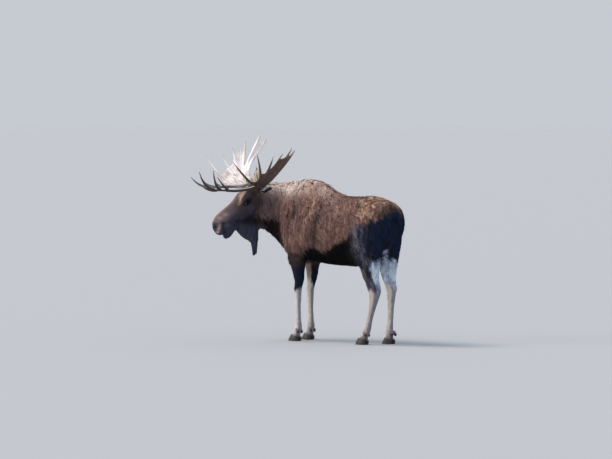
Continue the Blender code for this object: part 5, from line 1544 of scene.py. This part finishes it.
# ---------------------------------------------------------------- antlers
def fine_antler(side):
    sign, palm, bays, points, brow, brow_points = ANTLERS[side]
    masses = [rod("beam", [frame_point(p, sign) for p in BEAM], BEAM_RADII, 8, 10)]
    burr = frame_point(BEAM[0], sign)
    along = (frame_point(BEAM[1], sign) - burr).normalized()
    masses.append(rod("burr", [burr + along * d for d in (-0.004, 0.004, 0.012, 0.020)], (0.040, BURR_RADIUS, BURR_RADIUS, 0.036), 8, 4))
    ribs = [rib[:3] for rib in palm]
    masses.append(palm_web("web", ribs, sign, 0.0165, bays, 10, 16))
    for rib, thick in zip(palm, points):
        masses.append(tine("point", rib[:3], rib[3], sign, thick, 0.012))
        masses.append(rod("vein", [frame_point(bezier(*(Vector(p) for p in rib[:3]), t), sign) for t in (0.0, 0.4, 0.8, 1.0)], (0.021, 0.0135, 0.0105, 0.0105)))
    masses.append(rod("stem", [frame_point(p, sign) for p in BROW_STEM], BROW_RADII, 8, 8))
    masses.append(palm_web("brow_web", [rib[:3] for rib in brow], sign, 0.0145, BROW_BAYS, 8, 10))
    for rib, thick in zip(brow, brow_points):
        masses.append(tine("brow_point", rib[:3], rib[3], sign, thick, 0.010))
    obj = fuse("antler_" + side, masses, ANTLER_VOXEL, 5)
    co, nrm = points_of(obj.data), vertex_normals(obj.data)
    base = np.array(burr)
    far = co - base
    dist = np.linalg.norm(far, axis=1)
    way = unit(far)
    # grooves run outwards from the beam; the burr and the beam are pearled
    groove = noise(way * 9.0 + 0.6 * dist[:, None], 1.6, 31) * 0.6 + noise(way * 22.0 + 0.8 * dist[:, None], 1.4, 32) * 0.4
    pearl = np.abs(noise(co, 95, 33))
    near = smooth(0.16, 0.03, dist)
    bump = groove * 0.0016 * smooth(0.03, 0.12, dist) * smooth(0.95, 0.5, dist) + pearl * 0.0030 * near + noise(co, 160, 34) * 0.0003
    co = co + nrm * bump[:, None]
    set_points(obj.data, co)
    # painted light and shade: the cupped side, which faces the other antler and the sky, is painted pale as lit, the
    # rest umber as shaded
    inward = -A_LEFT * sign * 0.78 + A_UP * 0.62 - A_AHEAD * 0.05
    lit_side = smooth(-0.10, 0.30, nrm @ inward)
    streak = noise(way * 26.0, 1.5, 35) * 0.6 + noise(co, 28, 36) * 0.4
    brow_part = smooth(0.10, 0.30, (co - A_CROWN) @ A_AHEAD + 0.03 * streak) * smooth(0.36, 0.28, np.abs((co - A_CROWN) @ A_LEFT))
    umber = mix(np.tile(srgb(72, 56, 52), (len(co), 1)), srgb(112, 88, 78), (0.5 + 0.5 * streak)[:, None])
    umber = mix(umber, srgb(44, 35, 34), (smooth(0.40, 0.10, dist) * 0.7)[:, None])
    # painted shade: the brow palms are painted darker
    umber = mix(umber, srgb(34, 28, 32), (brow_part * 0.75)[:, None])
    pale = mix(np.tile(srgb(250, 238, 230), (len(co), 1)), srgb(172, 146, 138), (np.clip(streak * 1.7, 0, 1) * smooth(0.60, 0.36, dist) * 0.85)[:, None])
    pale = mix(pale, srgb(112, 92, 92), (smooth(0.36, 0.14, dist) * 0.75 * (0.6 + 0.4 * streak))[:, None])
    lit_side = lit_side * (1 - 0.9 * brow_part)
    colour = mix(umber, pale, lit_side[:, None])
    tips = np.zeros(len(co))
    for rib in list(palm) + list(brow):
        tip = np.array(frame_point(rib[3], sign))
        tips = np.maximum(tips, smooth(0.13, 0.02, np.linalg.norm(co - tip, axis=1)))
    colour = mix(colour, srgb(206, 190, 176), (tips * (0.75 - 0.55 * brow_part))[:, None])
    colour = mix(colour, srgb(70, 52, 40), (near * 0.7)[:, None])
    paint(obj.data, colour)
    for polygon in obj.data.polygons:
        polygon.use_smooth = True
    obj.data.update()
    obj.name = obj.data.name = "horn_" + side
    return obj


horns = {}
for side in ANTLERS:
    horns[side] = fine_antler(side)

# ---------------------------------------------------------------- eyes
eyeballs = {}
for side, sign in (("left", 1), ("right", -1)):
    centre, fore, up, out = eye_frame(sign)
    bm = bmesh.new()
    bmesh.ops.create_uvsphere(bm, u_segments=64, v_segments=40, radius=EYE_RADIUS)
    turn = Matrix((Vector(fore), Vector(up), Vector(out))).transposed()
    bmesh.ops.transform(bm, matrix=turn.to_4x4(), verts=bm.verts)
    bmesh.ops.translate(bm, vec=Vector(centre), verts=bm.verts)
    ball_obj = new_object("eyeball_" + side, bm)
    pts = points_of(ball_obj.data)
    d = (pts - centre) / EYE_RADIUS
    u, v, w = d @ fore, d @ up, d @ out
    iris = np.tile(srgb(46, 28, 18), (len(pts), 1))
    iris = mix(iris, srgb(74, 46, 28), (smooth(0.30, 0.55, np.hypot(u, v)) * 0.7)[:, None])
    iris = mix(iris, srgb(10, 8, 8), smooth(1.15, 0.85, (u / 0.46) ** 2 + (v / 0.26) ** 2)[:, None])
    iris = mix(iris, srgb(70, 58, 50), smooth(0.70, 0.80, np.hypot(u, v))[:, None])
    iris = np.where((w < 0)[:, None], srgb(40, 30, 26), iris)
    paint(ball_obj.data, iris)
    for polygon in ball_obj.data.polygons:
        polygon.use_smooth = True
    eyeballs[side] = ball_obj

# ---------------------------------------------------------------- hooves and dewclaws
hooves = {}
for leg in LEGS:
    centre, sign = foot_frame(leg)
    point, nrm = hairline(centre)
    axes = (Vector((1, 0, 0)), nrm.cross(Vector((1, 0, 0))), nrm)
    for which, lateral in (("outer", sign), ("inner", -sign)):
        half = claw(centre, sign, lateral, 40, 6)
        top = block("top_trim", point + nrm * (0.10 + 0.004), axes, (0.30, 0.40, 0.20))
        cut = half.modifiers.new("trim", "BOOLEAN")
        cut.operation = "DIFFERENCE"
        cut.solver = "EXACT"
        cut.object = top
        bevel = half.modifiers.new("bevel", "BEVEL")
        bevel.width = 0.0016
        bevel.segments = 2
        bevel.limit_method = "ANGLE"
        bevel.angle_limit = math.radians(50)
        apply_modifiers(half)
        half.name = half.data.name = f"claw_{leg}_{which}"
        pts = points_of(half.data)
        rings_of = noise(pts * np.array([0.2, 0.2, 1.0]), 260, 41)
        shade = mix(srgb(40, 36, 34), srgb(70, 62, 56), (0.5 + 0.5 * rings_of)[:, None])
        shade = mix(shade, srgb(104, 94, 84), (smooth(0.022, 0.0, pts[:, 2]) * 0.6)[:, None])
        paint(half.data, shade)
        for polygon in half.data.polygons:
            polygon.use_smooth = True
        hooves[f"hoof_{leg}_{which}"] = half
        start, bend, end = spur_line(centre, lateral)
        spur = rod("spur", [start, bend, bend.lerp(end, 0.6), end], (SPUR_RADII[0], SPUR_RADII[1], 0.0165, 0.007), 6, 8)
        height = points_of(spur.data)[:, 2]
        paint(spur.data, mix(np.tile(srgb(54, 48, 46), (len(height), 1)), srgb(124, 112, 108), smooth(0.118, 0.148, height)[:, None]))
        for polygon in spur.data.polygons:
            polygon.use_smooth = True
        spur.name = spur.data.name = f"spur_{leg}_{which}"
        hooves[f"dewclaw_{leg}_{which}"] = spur


# ---------------------------------------------------------------- materials
def painted(name, roughness, specular, bump=None, coat=0.0, gain=1.0):
    """A material that takes its colour from the markings."""
    mat = bpy.data.materials.new(name)
    mat.use_nodes = True
    nodes, links = mat.node_tree.nodes, mat.node_tree.links
    shader = nodes["Principled BSDF"]
    shader.inputs["Roughness"].default_value = roughness
    shader.inputs["Specular IOR Level"].default_value = specular
    shader.inputs["Coat Weight"].default_value = coat
    shader.inputs["Coat Roughness"].default_value = 0.04
    attribute = nodes.new("ShaderNodeAttribute")
    attribute.attribute_name = "markings"
    links.new(attribute.outputs["Color"], shader.inputs["Base Color"])
    if bump:
        scale, strength, distance = bump
        where = nodes.new("ShaderNodeTexCoord")
        texture = nodes.new("ShaderNodeTexNoise")
        texture.inputs["Scale"].default_value = scale
        texture.inputs["Detail"].default_value = 5
        texture.inputs["Roughness"].default_value = 0.65
        links.new(where.outputs["Object"], texture.inputs["Vector"])
        height = nodes.new("ShaderNodeBump")
        height.inputs["Strength"].default_value = strength
        height.inputs["Distance"].default_value = distance
        links.new(texture.outputs["Fac"], height.inputs["Height"])
        links.new(height.outputs["Normal"], shader.inputs["Normal"])
    return mat


fur_material = painted("fur", 0.65, 0.08)
skin_material = painted("hide", 0.68, 0.25, (420, 0.5, 0.0012))
antler_material = painted("antler_bone", 0.48, 0.4, (240, 0.35, 0.0012))
eye_material = painted("wet_eye", 0.12, 0.5, None, 1.0)
hoof_material = painted("hoof_horn", 0.42, 0.45, (300, 0.4, 0.0008))


def place(obj, mat):
    for c in list(obj.users_collection):
        c.objects.unlink(obj)
    bpy.context.scene.collection.objects.link(obj)
    obj.hide_render = False
    obj.display_type = "TEXTURED"
    obj.data.materials.clear()
    obj.data.materials.append(mat)
    obj.data.transform(Matrix.Translation(shift))
    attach(obj, "root")


place(skin, skin_material)
FLESH = ["head", "neck", "trunk", "bell", "tail", "ear_left", "ear_right"]
FLESH += [f"{part}_{side}" for part in ("forearm", "foreshank", "thigh", "hindshank") for side in ("left", "right")]
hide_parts(*FLESH)
for obj in coats:
    place(obj, fur_material)
for side in ("left", "right"):
    place(horns[side], antler_material)
    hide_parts(f"antler_{side}_palm", f"antler_{side}_brow")
    place(eyeballs[side], eye_material)
    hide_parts(f"eye_{side}")
for node, obj in hooves.items():
    place(obj, hoof_material)
    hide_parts(node)
for left in list(helpers.objects):
    bpy.data.objects.remove(left)
bpy.data.collections.remove(helpers)

# ---------------------------------------------------------------- stage, light and camera
low, high = cad_box
middle_of = (low + high) / 2


def floor_sheet():
    """A pale floor, a flat disc reaching far out."""
    bm = bmesh.new()
    bmesh.ops.create_circle(bm, cap_ends=True, cap_tris=False, segments=96, radius=900.0)
    bmesh.ops.translate(bm, vec=(0, 0, low.z), verts=bm.verts)
    mesh = bpy.data.meshes.new("floor")
    bm.to_mesh(mesh)
    bm.free()
    obj = bpy.data.objects.new("floor", mesh)
    bpy.context.scene.collection.objects.link(obj)
    mat = bpy.data.materials.new("floor")
    mat.use_nodes = True
    mat.node_tree.nodes["Principled BSDF"].inputs["Base Color"].default_value = (0.40, 0.40, 0.40, 1)
    mat.node_tree.nodes["Principled BSDF"].inputs["Roughness"].default_value = 0.9
    obj.data.materials.append(mat)
    return obj


floor_sheet()

world = bpy.data.worlds.new("studio")
bpy.context.scene.world = world
world.use_nodes = True
# a soft overcast dome: even at the horizon, brighter and cooler overhead
tree_of = world.node_tree
coord = tree_of.nodes.new("ShaderNodeTexCoord")
parts = tree_of.nodes.new("ShaderNodeSeparateXYZ")
ramp = tree_of.nodes.new("ShaderNodeValToRGB")
tree_of.links.new(coord.outputs["Generated"], parts.inputs["Vector"])
tree_of.links.new(parts.outputs["Z"], ramp.inputs["Fac"])
tree_of.links.new(ramp.outputs["Color"], tree_of.nodes["Background"].inputs["Color"])
ramp.color_ramp.elements[0].position = 0.06
ramp.color_ramp.elements[0].color = (0.565, 0.590, 0.640, 1)
ramp.color_ramp.elements[1].position = 0.75
ramp.color_ramp.elements[1].color = (0.74, 0.84, 1.0, 1)
ramp.color_ramp.elements.new(0.14).color = (0.46, 0.48, 0.52, 1)
tree_of.nodes["Background"].inputs["Strength"].default_value = 1.0

AZIMUTH, ELEVATION, DISTANCE = math.radians(131), math.radians(2), 45.0
TARGET = Vector((0, 0, 1.3)) + shift
right = Vector((math.cos(AZIMUTH), math.sin(AZIMUTH), 0))
back = Vector((math.sin(AZIMUTH) * math.cos(ELEVATION), -math.cos(AZIMUTH) * math.cos(ELEVATION), math.sin(ELEVATION)))
up_way = back.cross(right)


def lamp(name, kind, where, energy, colour, size):
    data = bpy.data.lights.new(name, kind)
    data.energy = energy
    data.color = colour
    if kind == "AREA":
        data.shape = "DISK"
        data.size = size
    else:
        data.angle = size
    obj = bpy.data.objects.new(name, data)
    bpy.context.scene.collection.objects.link(obj)
    obj.location = where
    obj.rotation_euler = (middle_of - Vector(where)).to_track_quat("-Z", "Y").to_euler()
    return obj


# key: high and soft, from the left and a little behind
lamp("key", "SUN", middle_of - right * 6.0 - back * 1.5 + Vector((0, 0, 9.0)), 2.2, (1.0, 0.95, 0.88), math.radians(24))

# fill: lower and wider, from the left
lamp("fill", "SUN", middle_of - right * 9.0 + back * 1.2 + Vector((0, 0, 2.4)), 0.9, (0.97, 0.96, 1.0), math.radians(35))

camera_data = bpy.data.cameras.new("camera")
camera_data.sensor_width = 36.0
camera_data.lens = 36.0 * DISTANCE / (612 / 82.2)
camera_data.clip_end = 400
camera = bpy.data.objects.new("camera", camera_data)
bpy.context.scene.collection.objects.link(camera)
look = TARGET + right * -0.426 + up_way * 0.075
camera.location = look + back * DISTANCE
camera.rotation_euler = (look - camera.location).to_track_quat("-Z", "Y").to_euler()
bpy.context.scene.camera = camera
bpy.context.scene.view_settings.view_transform = "Standard"

# ---------------------------------------------------------------- scene update
bpy.context.view_layer.update()
